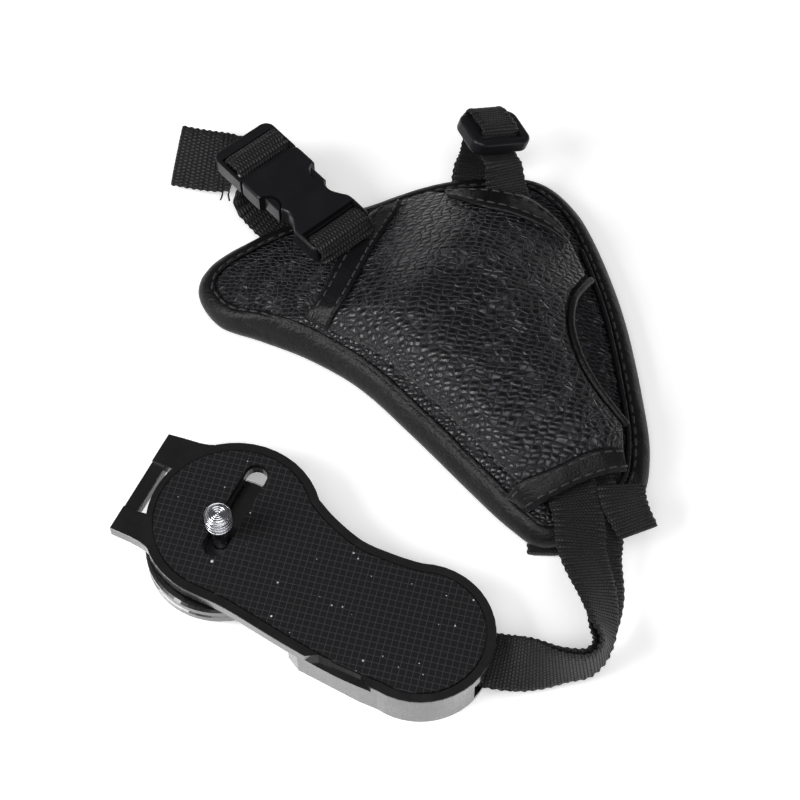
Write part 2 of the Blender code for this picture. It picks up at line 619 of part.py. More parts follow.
skin("plate_webbing", np.vstack([path[:-1], pin_mid + turn_r * spokes, returns[:-1][::-1]]),
     np.vstack([across[:-1], np.repeat(across[-1:], len(spokes), 0), across[:-1][::-1]]),
     np.vstack([side * up[:-1], spokes, -side * up[:-1][::-1]]) * side, WEB_WIDE, NYLON, WEB_THICK)

# Free end of the same strap, hanging out past the mouth trim.
ribbon("webbing_tail", [(52.1, -31.2, 12.0, 22, -2), (52.8, -34.0, 12.0, 34, -4),
                        (54.6, -37.6, 11.6, 46, -8), (57.4, -42.0, 10.8, 52, -12)], WEB_WIDE - 1.0, NYLON)

# Stitched tab: the folded webbing end under the hand piece's lower tip.
ribbon("stitched_tab", [(34.4, -37.5, 0.8, 3, 0), (34.3, -42.0, 0.9, 3, 0), (34.2, -46.6, 1.2, 3, 0)],
       8.0, NYLON, 1.05)

# Wrist buckle: the sprung half plugs into the socket half; both are moulded acetal.
MALE_AT = np.array((-41.4, 69.5, 16.6))
SOCKET_END = np.array((-13.8, 36.8, 17.1))
buckle_x = (SOCKET_END - MALE_AT) / np.linalg.norm(SOCKET_END - MALE_AT)
buckle_y = np.cross((0.0, 0.0, 1.0), buckle_x)
buckle_y /= np.linalg.norm(buckle_y)
buckle_z = np.cross(buckle_x, buckle_y)
BUCKLE_HEAD = math.degrees(math.atan2(buckle_y[1], buckle_y[0]))


def buckle(x, y, z):
    return MALE_AT + buckle_x * x + buckle_y * y + buckle_z * z


def pose(obj, origin, ax, ay, az):
    """Carries a piece modelled flat at the world's centre to its place."""
    turn = Matrix([(ax[k], ay[k], az[k], 0) for k in range(3)] + [(0, 0, 0, 1)])
    shift = Vector((*ORIGIN, 0.0)) * MM
    obj.data.transform(Matrix.Translation(-shift))
    obj.data.transform(Matrix.Translation(Vector(origin) * MM + shift) @ turn)
    return obj


def mirrored(points):
    """Closes an outline given for one side by its mirror image."""
    return points + [(x, -y) for x, y in points[::-1]]


half_wide = BUCKLE_WIDE / 2
deep = BUCKLE_THICK / 2
socket = prism("buckle_socket", mirrored([(x, half_wide + y) for x, y in
                                          ((12.0, -0.6), (15.0, -0.2), (18.0, -0.2), (24.6, -1.7),
                                           (26.5, -2.8), (29.0, -2.7), (31.5, -1.3), (34.0, 0.0))]),
               -deep, deep, ACETAL)
bevel(socket, 0.8, 2, 40)
ears = prism("ears", mirrored([(32.0, half_wide - 1.7), (35.0, half_wide - 0.15),
                               (40.8, half_wide - 0.15), (41.8, half_wide - 1.0)]),
             -1.6, 1.6, ACETAL, CUTTERS)
bevel(ears, 0.4, 2, 40)
boolean(ears, block(34.6, 38.4, -half_wide + RAIL, half_wide - RAIL, -9, 9))
boolean(socket, ears, "UNION")
cavity = mirrored([(10.0, half_wide - 2.4), (24.2, half_wide - 2.4), (27.8, half_wide - 4.4)])
boolean(socket, prism("cavity", cavity, -1.9, 1.9, ACETAL, CUTTERS))
for side in (-1, 1):
    spot = (NOTCH_X, side * (half_wide + 0.3))
    boolean(socket, rod("notch", (*spot, -9), (*spot, 9), NOTCH_R, ACETAL, 24, CUTTERS))
pose(smooth(socket, 40), MALE_AT, buckle_x, buckle_y, buckle_z)

plug = prism("buckle_plug", mirrored([(0.0, half_wide - 1.2), (1.2, half_wide), (11.7, half_wide)]),
             -2.2, 2.2, ACETAL)
boolean(plug, block(2.8, 10.6, -half_wide + RAIL, half_wide - RAIL, -9, 9))
bevel(plug, 0.5, 2, 40)
bar_end = half_wide - 0.7
bar = [(5.5, -bar_end), (7.5, -bar_end), (7.5, bar_end), (5.5, bar_end)]
boolean(plug, prism("crossbar", bar, -1.1, 1.1, ACETAL, CUTTERS), "UNION")
for side in (-1, 1):
    arm = [(x, side * (half_wide + y)) for x, y in
           ((11.0, -3.4), (19.2, -2.9), (24.0, -3.0), (26.2, -4.9), (25.6, -5.5), (20.0, -4.7), (11.0, -5.3))]
    boolean(plug, prism("arm", arm, -1.5, 1.5, ACETAL, CUTTERS), "UNION")
    button = arc((NOTCH_X, side * (half_wide + 0.3)), NOTCH_R - GAP, side * -158, side * -22, 14)
    boolean(plug, prism("button", button, -2.3, 2.3, ACETAL, CUTTERS), "UNION")
prong = [(11.0, -0.9), (27.0, -0.7), (27.0, 0.7), (11.0, 0.9)]
boolean(plug, prism("prong", prong, -1.2, 1.2, ACETAL, CUTTERS), "UNION")
pose(smooth(plug, 40), MALE_AT, buckle_x, buckle_y, buckle_z)

# Wrist webbing: sewn under the pad's edge, up through the plug, over its crossbar, with a free tail.
H = BUCKLE_HEAD
over = [(*buckle(x, 0, z), H, 0) for x, z in ((10.7, -3.8), (9.5, -1.9), (9.05, 0.3), (8.2, 1.95),
                                              (6.5, 2.35), (4.8, 1.95), (3.95, 0.6), (3.9, -1.2),
                                              (3.7, -2.7))]
ribbon("wrist_webbing", [(-28.6, 42.0, 0.9, 18, 0), (-30.6, 47.0, 0.9, 20, 0), (-32.0, 51.6, 1.2, 22, 0),
                         (-32.3, 54.8, 2.5, 29, 0), (-32.4, 57.2, 5.6, 36, 0),
                         (-33.2, 59.4, 9.6, 40, 0)] + over
       + [(-39.8, 67.6, 11.7, 41, 1), (-41.3, 68.9, 9.5, 49, 5), (-43.3, 69.8, 7.8, 61, 15),
          (-46.0, 70.3, 6.9, 72, 24), (-49.8, 71.0, 6.5, 77, 29), (-54.5, 72.0, 6.3, 78, 31),
          (-59.7, 73.3, 6.2, 77, 32)],
       WRIST_WIDE, NYLON, 1.0, 3)

# Socket webbing: turned round the socket's end bar and sewn under the sleeve's tape.
loop = [(*buckle(x, 0, z), H, 0) for x, z in ((47.0, -3.6), (44.8, -1.4), (43.2, 0.7), (41.9, 2.3),
                                              (40.1, 2.7), (38.2, 2.3), (37.0, 0.9), (36.8, -1.0),
                                              (37.6, -2.5), (39.8, -2.8))]
short = ribbon("socket_webbing", loop, WRIST_WIDE, NYLON, 1.0, 2)
trim_edge = [(-24.4, 15.4 - 2.0), (-14.9, 36.4), (-10.1, 48.6), (-7.6, 55.0), (30.0, 55.0), (30.0, 10.0)]
boolean(short, prism("sewn_end", trim_edge, 2, 40, NYLON, CUTTERS))

# Tri-glide: a moulded frame with a centre bar; the lug webbing is threaded through it.
GLIDE_AT = np.array((23.5, 68.7, 21.2))
glide_x = np.array((0.89, 0.36, -0.26))
glide_x /= np.linalg.norm(glide_x)
glide_y = np.array((-0.36, 0.925, 0.03))
glide_y -= glide_x * (glide_x @ glide_y)
glide_y /= np.linalg.norm(glide_y)
glide_z = np.cross(glide_x, glide_y)


def glide(x, y, z):
    return GLIDE_AT + glide_x * x + glide_y * y + glide_z * z


corner = 3.2
ring = np.vstack([arc((cx * (GLIDE_HALF[0] - corner), cy * (GLIDE_HALF[1] - corner)), corner, a, a + 90, 6)
                  for cx, cy, a in ((1, 1, 0), (-1, 1, 90), (-1, -1, 180), (1, -1, 270))])
tri = prism("tri_glide", ring, -GLIDE_THICK / 2, GLIDE_THICK / 2, ACETAL)
bevel(tri, 0.9, 3, 40)
window_half = LUG_WIDE / 2 + 0.4
for y0, y1 in ((-GLIDE_HALF[1] + 2.0, -1.1), (1.1, GLIDE_HALF[1] - 2.0)):
    boolean(tri, block(-window_half, window_half, y0, y1, -5, 5))
pose(smooth(tri, 40), GLIDE_AT, glide_x, glide_y, glide_z)

# Lug webbing: from the crown mouth through the glide, round its bar and back to the pad's far edge.
G = math.degrees(math.atan2(glide_x[1], glide_x[0]))
ROLL = math.degrees(math.asin(glide_x[2]))
web = [(*glide(0, y, z), G, ROLL) for y, z in ((-8.2, -3.2), (-5.4, -2.7), (-3.8, -1.8), (-2.9, -0.4),
                                            (-2.6, 1.0), (-1.6, 2.35), (0.0, 2.75), (1.6, 2.35),
                                            (2.6, 1.0), (2.9, -0.6), (3.0, -2.4), (2.2, -5.0))]
ribbon("lug_webbing", [(30.2, 40.0, 12.6, 10, 0), (29.0, 47.0, 11.4, 11, 0), (27.7, 53.0, 10.9, 13, -2),
                       (26.6, 56.8, 12.2, 15, -8), (26.2, 59.4, 14.4, 18, -16)] + web
       + [(20.4, 71.4, 10.6, 12, -14), (19.0, 69.8, 6.0, 8, -5), (18.2, 67.2, 2.2, 7, 0),
          (18.0, 62.4, 0.8, 7, 0)],
       LUG_WIDE, NYLON, 1.0, 2)
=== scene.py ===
"""Looks of the camera hand grip strap: leather, webbing, moulded plate and buckles.

Lengths are drawn in millimetres; build() turns them into the frame's metres.
"""
import math

import bmesh
import bpy
import numpy as np
from mathutils import Matrix, Vector, noise


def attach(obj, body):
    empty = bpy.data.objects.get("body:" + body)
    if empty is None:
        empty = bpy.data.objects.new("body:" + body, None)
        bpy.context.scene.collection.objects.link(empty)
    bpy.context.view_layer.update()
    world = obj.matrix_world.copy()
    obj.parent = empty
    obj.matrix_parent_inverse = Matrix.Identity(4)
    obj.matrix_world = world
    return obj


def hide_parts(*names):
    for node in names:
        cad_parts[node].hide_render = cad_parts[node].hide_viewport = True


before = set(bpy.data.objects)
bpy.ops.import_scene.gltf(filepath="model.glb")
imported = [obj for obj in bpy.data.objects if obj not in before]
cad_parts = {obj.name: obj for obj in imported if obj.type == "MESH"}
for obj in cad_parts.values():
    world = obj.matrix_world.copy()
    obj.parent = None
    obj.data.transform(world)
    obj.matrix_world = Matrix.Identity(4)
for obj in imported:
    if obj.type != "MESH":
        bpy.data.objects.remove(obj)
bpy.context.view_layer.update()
bpy.ops.object.select_all(action="DESELECT")
MM = 0.001

# Camera: a product shot from in front and above. The distance and lens come from the screw's
# height, the wheel's ellipse and the plate's outline in the photograph.
# CORNER moves the drawing so that the whole part is centred on the frame's own origin.
CORNER = (2.857, 3.355, 0.0)
SENSOR_WIDE = 36.0
LENS = 86.4
CAMERA_AWAY = 480.0
CAMERA_RISE = math.radians(58.0)
camera_data = bpy.data.cameras.new("camera")
camera_data.sensor_width = SENSOR_WIDE
camera_data.lens = LENS
camera_data.clip_start = 0.01
camera = bpy.data.objects.new("camera", camera_data)
bpy.context.scene.collection.objects.link(camera)
aim = Vector(CORNER) * MM
back = Vector((0.0, -math.cos(CAMERA_RISE), math.sin(CAMERA_RISE)))
camera.location = aim + back * CAMERA_AWAY * MM
camera.rotation_euler = back.to_track_quat("Z", "Y").to_euler()
bpy.context.scene.camera = camera
bpy.context.scene.view_settings.view_transform = "Standard"


# Studio table: matt white board that runs off behind the object. One large soft lamp stands at the
# camera's side, a smaller one low at the left for the gleam on the leather's roll, and a faint strip
# behind draws the far edges. The board shows its own white only to the camera and to mirror rays.
def linear(code):
    """An sRGB hex colour as the linear values that the shader takes."""
    parts = [int(code[i:i + 2], 16) / 255 for i in (1, 3, 5)]
    return (*[c / 12.92 if c <= 0.04045 else ((c + 0.055) / 1.055) ** 2.4 for c in parts], 1.0)


def add(mat, kind, inputs=(), **settings):
    """Adds a shader node with its settings; an input is a value or another node's output."""
    new = mat.node_tree.nodes.new("ShaderNode" + kind)
    for key, value in settings.items():
        setattr(new, key, value)
    for key, value in dict(inputs).items():
        if isinstance(value, bpy.types.NodeSocket):
            mat.node_tree.links.new(value, new.inputs[key])
        else:
            new.inputs[key].default_value = value
    return new


def finish(name, sockets):
    """A material whose own shader takes the given sockets; its nodes are added afterwards."""
    mat = bpy.data.materials.new(name)
    mat.use_nodes = True
    for key, value in sockets.items():
        mat.node_tree.nodes["Principled BSDF"].inputs[key].default_value = value
    return mat


def feed(mat, **sockets):
    """Links node outputs to the material's shader, an underscore standing for a space."""
    shader = mat.node_tree.nodes["Principled BSDF"]
    for key, value in sockets.items():
        mat.node_tree.links.new(value, shader.inputs[key.replace("_", " ")])


BOARD_WIDE = 6.0
BOARD_DROP = 0.0002
BOARD_GLOW = 0.3
WORLD_LIGHT = 0.1
bpy.ops.mesh.primitive_plane_add(size=BOARD_WIDE, location=(0.0, 0.0, -BOARD_DROP))
table = bpy.context.object
table.name = "table"
board = finish("matt_board", {"Roughness": 0.9, "Specular IOR Level": 0.1, "Emission Color": (1, 1, 1, 1)})
board_cloud = add(board, "TexNoise", {"Vector": add(board, "TexCoord").outputs["Object"], "Scale": 3.0})
board_tone = add(board, "Mix", {0: board_cloud.outputs["Fac"], 6: linear("#f6f6f6"), 7: linear("#fbfbfb")},
                 data_type="RGBA")
rays = add(board, "LightPath")
seen = add(board, "Math", {0: rays.outputs["Is Camera Ray"], 1: rays.outputs["Is Glossy Ray"]},
           operation="ADD")
seen = add(board, "Math", {0: seen.outputs[0], 1: rays.outputs["Is Transmission Ray"]}, operation="ADD")
glow = add(board, "Math", {0: seen.outputs[0], 1: BOARD_GLOW}, operation="MULTIPLY")
feed(board, Base_Color=board_tone.outputs[2], Emission_Strength=glow.outputs[0])
table.data.materials.append(board)

world = bpy.data.worlds.new("studio")
world.use_nodes = True
sky = world.node_tree.nodes["Background"]
sky.inputs["Color"].default_value = (1.0, 1.0, 1.0, 1.0)
sky.inputs["Strength"].default_value = WORLD_LIGHT
bpy.context.scene.world = world


LAMP_AWAY = 0.9


def lamp(name, size, power, azimuth, elevation):
    """A square soft lamp aimed at the object from an azimuth and height in degrees."""
    data = bpy.data.lights.new(name, "AREA")
    data.shape = "SQUARE"
    data.size = size
    data.energy = power
    obj = bpy.data.objects.new(name, data)
    bpy.context.scene.collection.objects.link(obj)
    a, e = math.radians(azimuth), math.radians(elevation)
    away = Vector((math.sin(a) * math.cos(e), math.cos(a) * math.cos(e), math.sin(e)))
    obj.location = away * LAMP_AWAY
    obj.rotation_euler = away.to_track_quat("Z", "Y").to_euler()


lamp("front_softbox", 0.8, 5.5, 165.0, 62.0)
lamp("back_strip", 0.3, 0.06, -20.0, 28.0)
lamp("left_softbox", 0.42, 6.0, -114.0, 38.0)


# Hand pad: cloth lining, foam and pebbled leather face, laid on each other and sewn at the edge.
# The stack is one padded piece: its two skins are puffed by a short cloth run, held at the edge.
PAD_EDGE = [(-50.6, 28.9), (-48.6, 36.2), (-41.2, 42.6), (-28.4, 49.8), (-10.0, 55.2), (0.0, 59.6),
            (11.4, 63.6), (23.9, 65.0), (35.9, 64.0), (45.0, 55.4), (51.0, 41.2), (56.1, 21.0),
            (59.0, -1.3), (59.8, -18.9), (56.4, -31.4), (45.4, -38.8), (34.3, -42.6), (26.7, -37.7),
            (16.1, -26.2), (3.8, -12.1), (-9.2, 1.6), (-22.1, 10.4), (-34.9, 16.3), (-45.4, 20.7)]
EDGE_STEPS = 12
PAD_MIDDLE = np.array((10.0, 12.0))
PAD_EDGE_Z = 4.4
PAD_ARCH = 6.5
STACK_MIDDLE_HALF = 2.7
STACK_EDGE_HALF = 1.5
STACK_FULLNESS = 8
OVERHANG = 1.03
GAP = 0.3
STRAP = "strap"


def spline(points, steps, closed=False):
    """Catmull-Rom through the points, any number of columns."""
    p = np.asarray(points, float)
    if closed:
        p = np.vstack([p[-1], p, p[0], p[1]])
    else:
        p = np.vstack([2 * p[0] - p[1], p, 2 * p[-1] - p[-2]])
    out = []
    for i in range(1, len(p) - 2):
        for s in range(steps):
            t = s / steps
            out.append(0.5 * (2 * p[i] + (p[i + 1] - p[i - 1]) * t
                              + (2 * p[i - 1] - 5 * p[i] + 4 * p[i + 1] - p[i + 2]) * t ** 2
                              + (3 * p[i] - p[i - 1] - 3 * p[i + 1] + p[i + 2]) * t ** 3))
    if not closed:
        out.append(p[-2])
    return np.array(out)


def unit(rows):
    """Every row at length one."""
    return rows / np.linalg.norm(rows, axis=1)[:, None]


edge = spline(PAD_EDGE, EDGE_STEPS, True)
edge_run = unit(np.roll(edge, -1, 0) - np.roll(edge, 1, 0))
outward = np.stack([-edge_run[:, 1], edge_run[:, 0]], 1)
spoke_turn = np.arctan2(*(edge - PAD_MIDDLE).T[::-1])
spoke_order = np.argsort(spoke_turn)
spoke_reach = np.linalg.norm(edge - PAD_MIDDLE, axis=1)


def reach(x, y):
    """How far out a point lies, 0 at the pad's middle and 1 on its edge."""
    turn = np.arctan2(y - PAD_MIDDLE[1], x - PAD_MIDDLE[0])
    rim = np.interp(turn, spoke_turn[spoke_order], spoke_reach[spoke_order], period=math.tau)
    return np.hypot(x - PAD_MIDDLE[0], y - PAD_MIDDLE[1]) / rim


def pad_mid(x, y):
    """Mid-height of the stack, which arches over the back of the hand."""
    return PAD_EDGE_Z + PAD_ARCH * (1 - np.minimum(reach(x, y), OVERHANG) ** 2)


def stack_half(x, y):
    """Half the stack's thickness, pressed thin where the binding is sewn."""
    fullness = 1 - np.minimum(reach(x, y), 1.0) ** STACK_FULLNESS
    return STACK_EDGE_HALF + (STACK_MIDDLE_HALF - STACK_EDGE_HALF) * fullness


def build(name, points, faces, mats, grid_uv=None):
    """A piece from points in millimetres, normals out, riding on the strap's body."""
    mesh = bpy.data.meshes.new(name)
    mesh.from_pydata(((np.asarray(points, float) + CORNER) * MM).tolist(), [], faces)
    if grid_uv is not None:
        mesh.uv_layers.new(name="UV").data.foreach_set("uv", np.array(grid_uv, float).ravel())
    for mat in mats:
        mesh.materials.append(mat)
    obj = bpy.data.objects.new(name, mesh)
    bpy.context.scene.collection.objects.link(obj)
    bm = bmesh.new()
    bm.from_mesh(mesh)
    bmesh.ops.recalc_face_normals(bm, faces=bm.faces)
    bm.to_mesh(mesh)
    bm.free()
    mesh.shade_smooth()
    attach(obj, STRAP)
    return obj


def bake(obj):
    """Applies every modifier to the piece's own mesh."""
    with bpy.context.temp_override(object=obj, active_object=obj, selected_objects=[obj]):
        for modifier in list(obj.modifiers):
            bpy.ops.object.modifier_apply(modifier=modifier.name)
    return obj


def coords(obj):
    """The piece's points as an array, in metres."""
    out = np.empty(len(obj.data.vertices) * 3)
    obj.data.vertices.foreach_get("co", out)
    return out.reshape(-1, 3)


def set_coords(obj, points):
    """Gives the piece's points new places, in metres."""
    obj.data.vertices.foreach_set("co", np.asarray(points, float).ravel())
    obj.data.update()


# Pebbled leather is split leather embossed with rounded pebbles and finished with a glossy coat, so
# each pebble has its own gleam, and a painted highlight, a pale rim, lies just before the matt crease.
# Pebble lengths are measured; the grain on the pebbles is 0.3 mm and rubbed patches are about 9 mm wide.
LEATHER_GRAIN_MM = 0.3
LEATHER_WEAR_MM = 9.0
PEBBLE_ORDER = 0.5
CREASE_WIDE = 0.17


def pebbled(name, pebble_mm, stretch, turn, relief_mm):
    """Embossed leather: pebble length, how far it is drawn out along the turned rows, and its depth."""
    mat = finish(name, {"Roughness": 0.4})
    place = add(mat, "TexCoord").outputs["Object"]
    warp = add(mat, "TexNoise", {"Vector": place, "Scale": 1000 / (pebble_mm * 5.0), "Detail": 1.0})
    bent = add(mat, "VectorMath", {0: warp.outputs["Color"], 1: (0.5, 0.5, 0.5)}, operation="SUBTRACT")
    bent = add(mat, "VectorMath", {0: bent.outputs[0], 3: pebble_mm * 1.6 * MM}, operation="SCALE")
    moved = add(mat, "VectorMath", {0: place, 1: bent.outputs[0]}, operation="ADD")
    laid = add(mat, "Mapping", {"Vector": moved.outputs[0], "Rotation": (0.0, 0.0, math.radians(turn)),
                                "Scale": (stretch, 1.0, 0.8)})
    pebbles = {"Vector": laid.outputs[0], "Scale": 1000 / pebble_mm, "Randomness": PEBBLE_ORDER}
    cells = add(mat, "TexVoronoi", pebbles, feature="DISTANCE_TO_EDGE")
    crease = add(mat, "MapRange", {"Value": cells.outputs["Distance"], "From Max": CREASE_WIDE},
                 interpolation_type="SMOOTHERSTEP")
    heart = add(mat, "TexVoronoi", pebbles)
    dome = add(mat, "Math", {0: heart.outputs["Distance"], 1: -1.1, 2: crease.outputs[0]},
               operation="MULTIPLY_ADD")
    grain = add(mat, "TexNoise", {"Vector": place, "Scale": 1000 / LEATHER_GRAIN_MM, "Detail": 3.0})
    soft = add(mat, "TexNoise", {"Vector": place, "Scale": 1000 / LEATHER_WEAR_MM})
    height = add(mat, "Math", {0: grain.outputs["Fac"], 1: 0.16, 2: dome.outputs[0]},
                 operation="MULTIPLY_ADD")
    bump = add(mat, "Bump", {"Height": height.outputs[0], "Distance": relief_mm * MM})
    tone = add(mat, "ValToRGB", {"Fac": cells.outputs["Distance"]})
    stops = tone.color_ramp.elements
    stops[0].position, stops[0].color = 0.02, linear("#050505")
    stops[1].position, stops[1].color = 0.2, linear("#070609")
    # Painted highlight: the pale stop is a rim of light painted round each pebble, just outside the crease.
    rim = stops.new(0.09)
    rim.color = linear("#3e3b41")
    rub = add(mat, "MapRange", {"Value": soft.outputs["Fac"], "From Min": 0.35, "From Max": 0.7,
                                "To Max": 0.25})
    worn = add(mat, "Mix", {0: rub.outputs[0], 6: tone.outputs[0], 7: linear("#111013")}, data_type="RGBA")
    shine = add(mat, "MapRange", {"Value": crease.outputs[0], "To Min": 0.6, "To Max": 0.3})
    feed(mat, Base_Color=worn.outputs[2], Roughness=shine.outputs[0], Normal=bump.outputs[0])
    return mat


face_leather = pebbled("pebbled_leather_fine", 1.2, 0.75, 12.0, 0.26)

# Lining is a brushed knit, matt and slightly fuzzy, its loops 0.7 mm apart.
KNIT_MM = 0.7
lining = finish("brushed_knit", {"Roughness": 0.95, "Specular IOR Level": 0.2, "Sheen Weight": 0.25})
lining_place = add(lining, "TexCoord").outputs["Object"]
knit = add(lining, "TexVoronoi", {"Vector": lining_place, "Scale": 1000 / KNIT_MM, "Randomness": 0.3})
knit_tone = add(lining, "Mix", {0: knit.outputs["Distance"], 6: linear("#1b1b1d"), 7: linear("#0d0d0e")},
                data_type="RGBA")
knit_bump = add(lining, "Bump", {"Height": knit.outputs["Distance"], "Distance": 0.15 * MM, "Strength": 0.8})
feed(lining, Base_Color=knit_tone.outputs[2], Normal=knit_bump.outputs[0])

PAD_RINGS = 16
EDGE_INSET = 1.2
PUFF_CAP = 0.5
PUFF_PRESSURE = 4.0
PUFF_FRAMES = 20
pad_rim = (edge - outward * EDGE_INSET)[::2]
pad_count = len(pad_rim)
pad_points = []
for side in (-1.0, 1.0):
    pad_points.append((*PAD_MIDDLE, pad_mid(*PAD_MIDDLE) + side * stack_half(*PAD_MIDDLE)))
    for ring in range(1, PAD_RINGS + 1):
        spot = PAD_MIDDLE + (pad_rim - PAD_MIDDLE) * (ring / PAD_RINGS)
        level = pad_mid(*spot.T) + side * stack_half(*spot.T)
        pad_points += np.column_stack([spot, level]).tolist()
pad_faces = []
skin_count = 1 + PAD_RINGS * pad_count
for base in (0, skin_count):
    for i in range(pad_count):
        j = (i + 1) % pad_count
        pad_faces.append((base, base + 1 + i, base + 1 + j))
        for ring in range(PAD_RINGS - 1):
            a, b = base + 1 + ring * pad_count, base + 1 + (ring + 1) * pad_count
            pad_faces.append((a + i, b + i, b + j, a + j))
rim_start = 1 + (PAD_RINGS - 1) * pad_count
for i in range(pad_count):
    j = (i + 1) % pad_count
    pad_faces.append((rim_start + i, rim_start + j, skin_count + rim_start + j, skin_count + rim_start + i))
hand_pad = build("hand_pad", pad_points, pad_faces, [face_leather, lining])
for face in hand_pad.data.polygons:
    face.material_index = 0 if face.normal.z > 0 else 1

before = coords(hand_pad)
held = [base + rim_start - pad_count + k for base in (0, skin_count) for k in range(2 * pad_count)]
hand_pad.vertex_groups.new(name="sewn").add(held, 1.0, "REPLACE")
puff = hand_pad.modifiers.new("puff", "CLOTH")
puff.settings.vertex_group_mass = "sewn"
puff.settings.use_pressure = True
puff.settings.uniform_pressure_force = PUFF_PRESSURE
puff.settings.effector_weights.gravity = 0.0
puff.point_cache.frame_start = 1
puff.point_cache.frame_end = PUFF_FRAMES
for step in range(1, PUFF_FRAMES + 1):
    bpy.context.scene.frame_set(step)
bake(hand_pad)
bpy.context.scene.frame_set(1)
move = coords(hand_pad) - before
far = np.linalg.norm(move, axis=1)
scale = np.minimum(1.0, PUFF_CAP * MM / np.maximum(far, 1e-9))
set_coords(hand_pad, before + move * scale[:, None])
divide = hand_pad.modifiers.new("divide", "SUBSURF")
divide.levels = 1
divide.render_levels = 1
bake(hand_pad)
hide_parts("foam_core", "face_panel", "palm_lining")


# Edge binding: smooth coated tape folded round the stack's edge, then stitched through by machine.
# It gathers a little on the tight curves, and its coat is softly glossy with fine creases.
TAPE_GRAIN_MM = 0.35
TAPE_PORE_MM = 0.55


def smooth_leather(name, top, low, crease_mm):
    """Coated tape: the colours painted on its crests and hollows as light and shade, and how far apart its
    soft creases lie.
    """
    mat = finish(name, {"Roughness": 0.45, "Specular IOR Level": 0.26})
    place = add(mat, "TexCoord").outputs["Object"]
    grain = add(mat, "TexNoise", {"Vector": place, "Scale": 1000 / TAPE_GRAIN_MM, "Detail": 4.0,
                                   "Roughness": 0.6})
    pores = add(mat, "TexVoronoi", {"Vector": place, "Scale": 1000 / TAPE_PORE_MM}, feature="SMOOTH_F1")
    creased = add(mat, "TexNoise", {"Vector": place, "Scale": 1000 / crease_mm, "Detail": 3.0,
                                    "Distortion": 0.6})
    ridge = add(mat, "Math", {0: grain.outputs["Fac"], 1: 0.35, 2: pores.outputs["Distance"]},
                operation="MULTIPLY_ADD")
    height = add(mat, "Math", {0: creased.outputs["Fac"], 1: 3.2, 2: ridge.outputs[0]},
                 operation="MULTIPLY_ADD")
    bump = add(mat, "Bump", {"Height": height.outputs[0], "Distance": 0.13 * MM, "Strength": 0.9})
    # Painted light and shade: the crests of the creases take the lighter colour and their hollows the
    # darker.
    tone = add(mat, "Mix", {0: creased.outputs["Fac"], 6: linear(low), 7: linear(top)}, data_type="RGBA")
    shine = add(mat, "MapRange", {"Value": grain.outputs["Fac"], "To Min": 0.34, "To Max": 0.56})
    feed(mat, Base_Color=tone.outputs[2], Roughness=shine.outputs[0], Normal=bump.outputs[0])
    return mat


binding_tape = smooth_leather("coated_binding_tape", "#100f11", "#080809", 5.0)
BINDING_WIDTH = 3.6
# The folded tape's section: inset from the edge, side of the stack from 1 above to -1 below, and the
# height over the leather. It runs from the upper raw edge out round the fold and back inside.
BINDING_SECTION = [
    (BINDING_WIDTH, 1, 0.15), (BINDING_WIDTH - 0.05, 1, 0.55), (BINDING_WIDTH - 0.3, 1, 0.8),
    (2.9, 1, 0.62), (2.4, 1, 0.88), (1.8, 1, 1.0), (0.9, 0.98, 0.95), (0.2, 0.85, 0.9),
    (-0.3, 0.68, 0.9), (-0.7, 0.42, 0.9), (-0.9, 0.14, 0.6), (-0.9, -0.14, 0.6), (-0.7, -0.42, 0.9),
    (-0.3, -0.68, 0.9), (0.2, -0.85, 0.9), (1.0, -0.98, 0.9), (1.8, -1, 0.9),
    (BINDING_WIDTH - 0.3, -1, 0.75), (BINDING_WIDTH, -1, 0.15), (2.2, -1, 0.1), (0.9, -1, 0.1),
    (0.85, 0, 0.1), (0.9, 1, 0.1), (2.2, 1, 0.1)]


def loft(name, rings, mats, closed=False):
    """Skins a row of equal rings, with a UV in millimetres: round the ring, then along the row."""
    rings = np.asarray(rings, float)
    count, size = rings.shape[:2]
    around = np.linalg.norm(np.diff(np.concatenate([rings, rings[:, :1]], 1), axis=1), axis=2).mean(0)
    around = np.concatenate([[0.0], np.cumsum(around)])
    mids = rings.mean(1)
    steps = np.linalg.norm(np.diff(np.vstack([mids, mids[:1]]), axis=0), axis=1)
    along = np.concatenate([[0.0], np.cumsum(steps)])
    faces, uvs = [], []
    for i in range(count if closed else count - 1):
        a, b = i * size, ((i + 1) % count) * size
        for k in range(size):
            m = (k + 1) % size
            faces.append((a + k, a + m, b + m, b + k))
            uvs += [(around[k], along[i]), (around[k + 1], along[i]),
                    (around[k + 1], along[i + 1]), (around[k], along[i + 1])]
    if not closed:
        for start in (0, (count - 1) * size):
            faces.append(tuple(range(start, start + size)))
            uvs += [(around[k], along[0 if start == 0 else count - 1]) for k in range(size)]
    return build(name, rings.reshape(-1, 3), faces, mats, uvs)


def wobble(x, y, z, size, amount, seed=0.0):
    """A smooth random height in millimetres, its humps about the given size."""
    return amount * noise.noise(Vector((x / size + seed, y / size, z / size)))


binding_rings = []
for spot, way in zip(edge, outward):
    ring = []
    for inset, level, extra in BINDING_SECTION:
        q = spot - way * inset
        pucker = wobble(*q, level * 9.0, 2.6, 0.16) + wobble(*q, level * 9.0, 7.0, 0.2, 5.0)
        ring.append((*q, pad_mid(*q) + level * (stack_half(*q) + GAP + extra + pucker)))
    binding_rings.append(ring)
edge_tape = loft("edge_tape", binding_rings, [binding_tape], closed=True)
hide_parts("edge_binding")

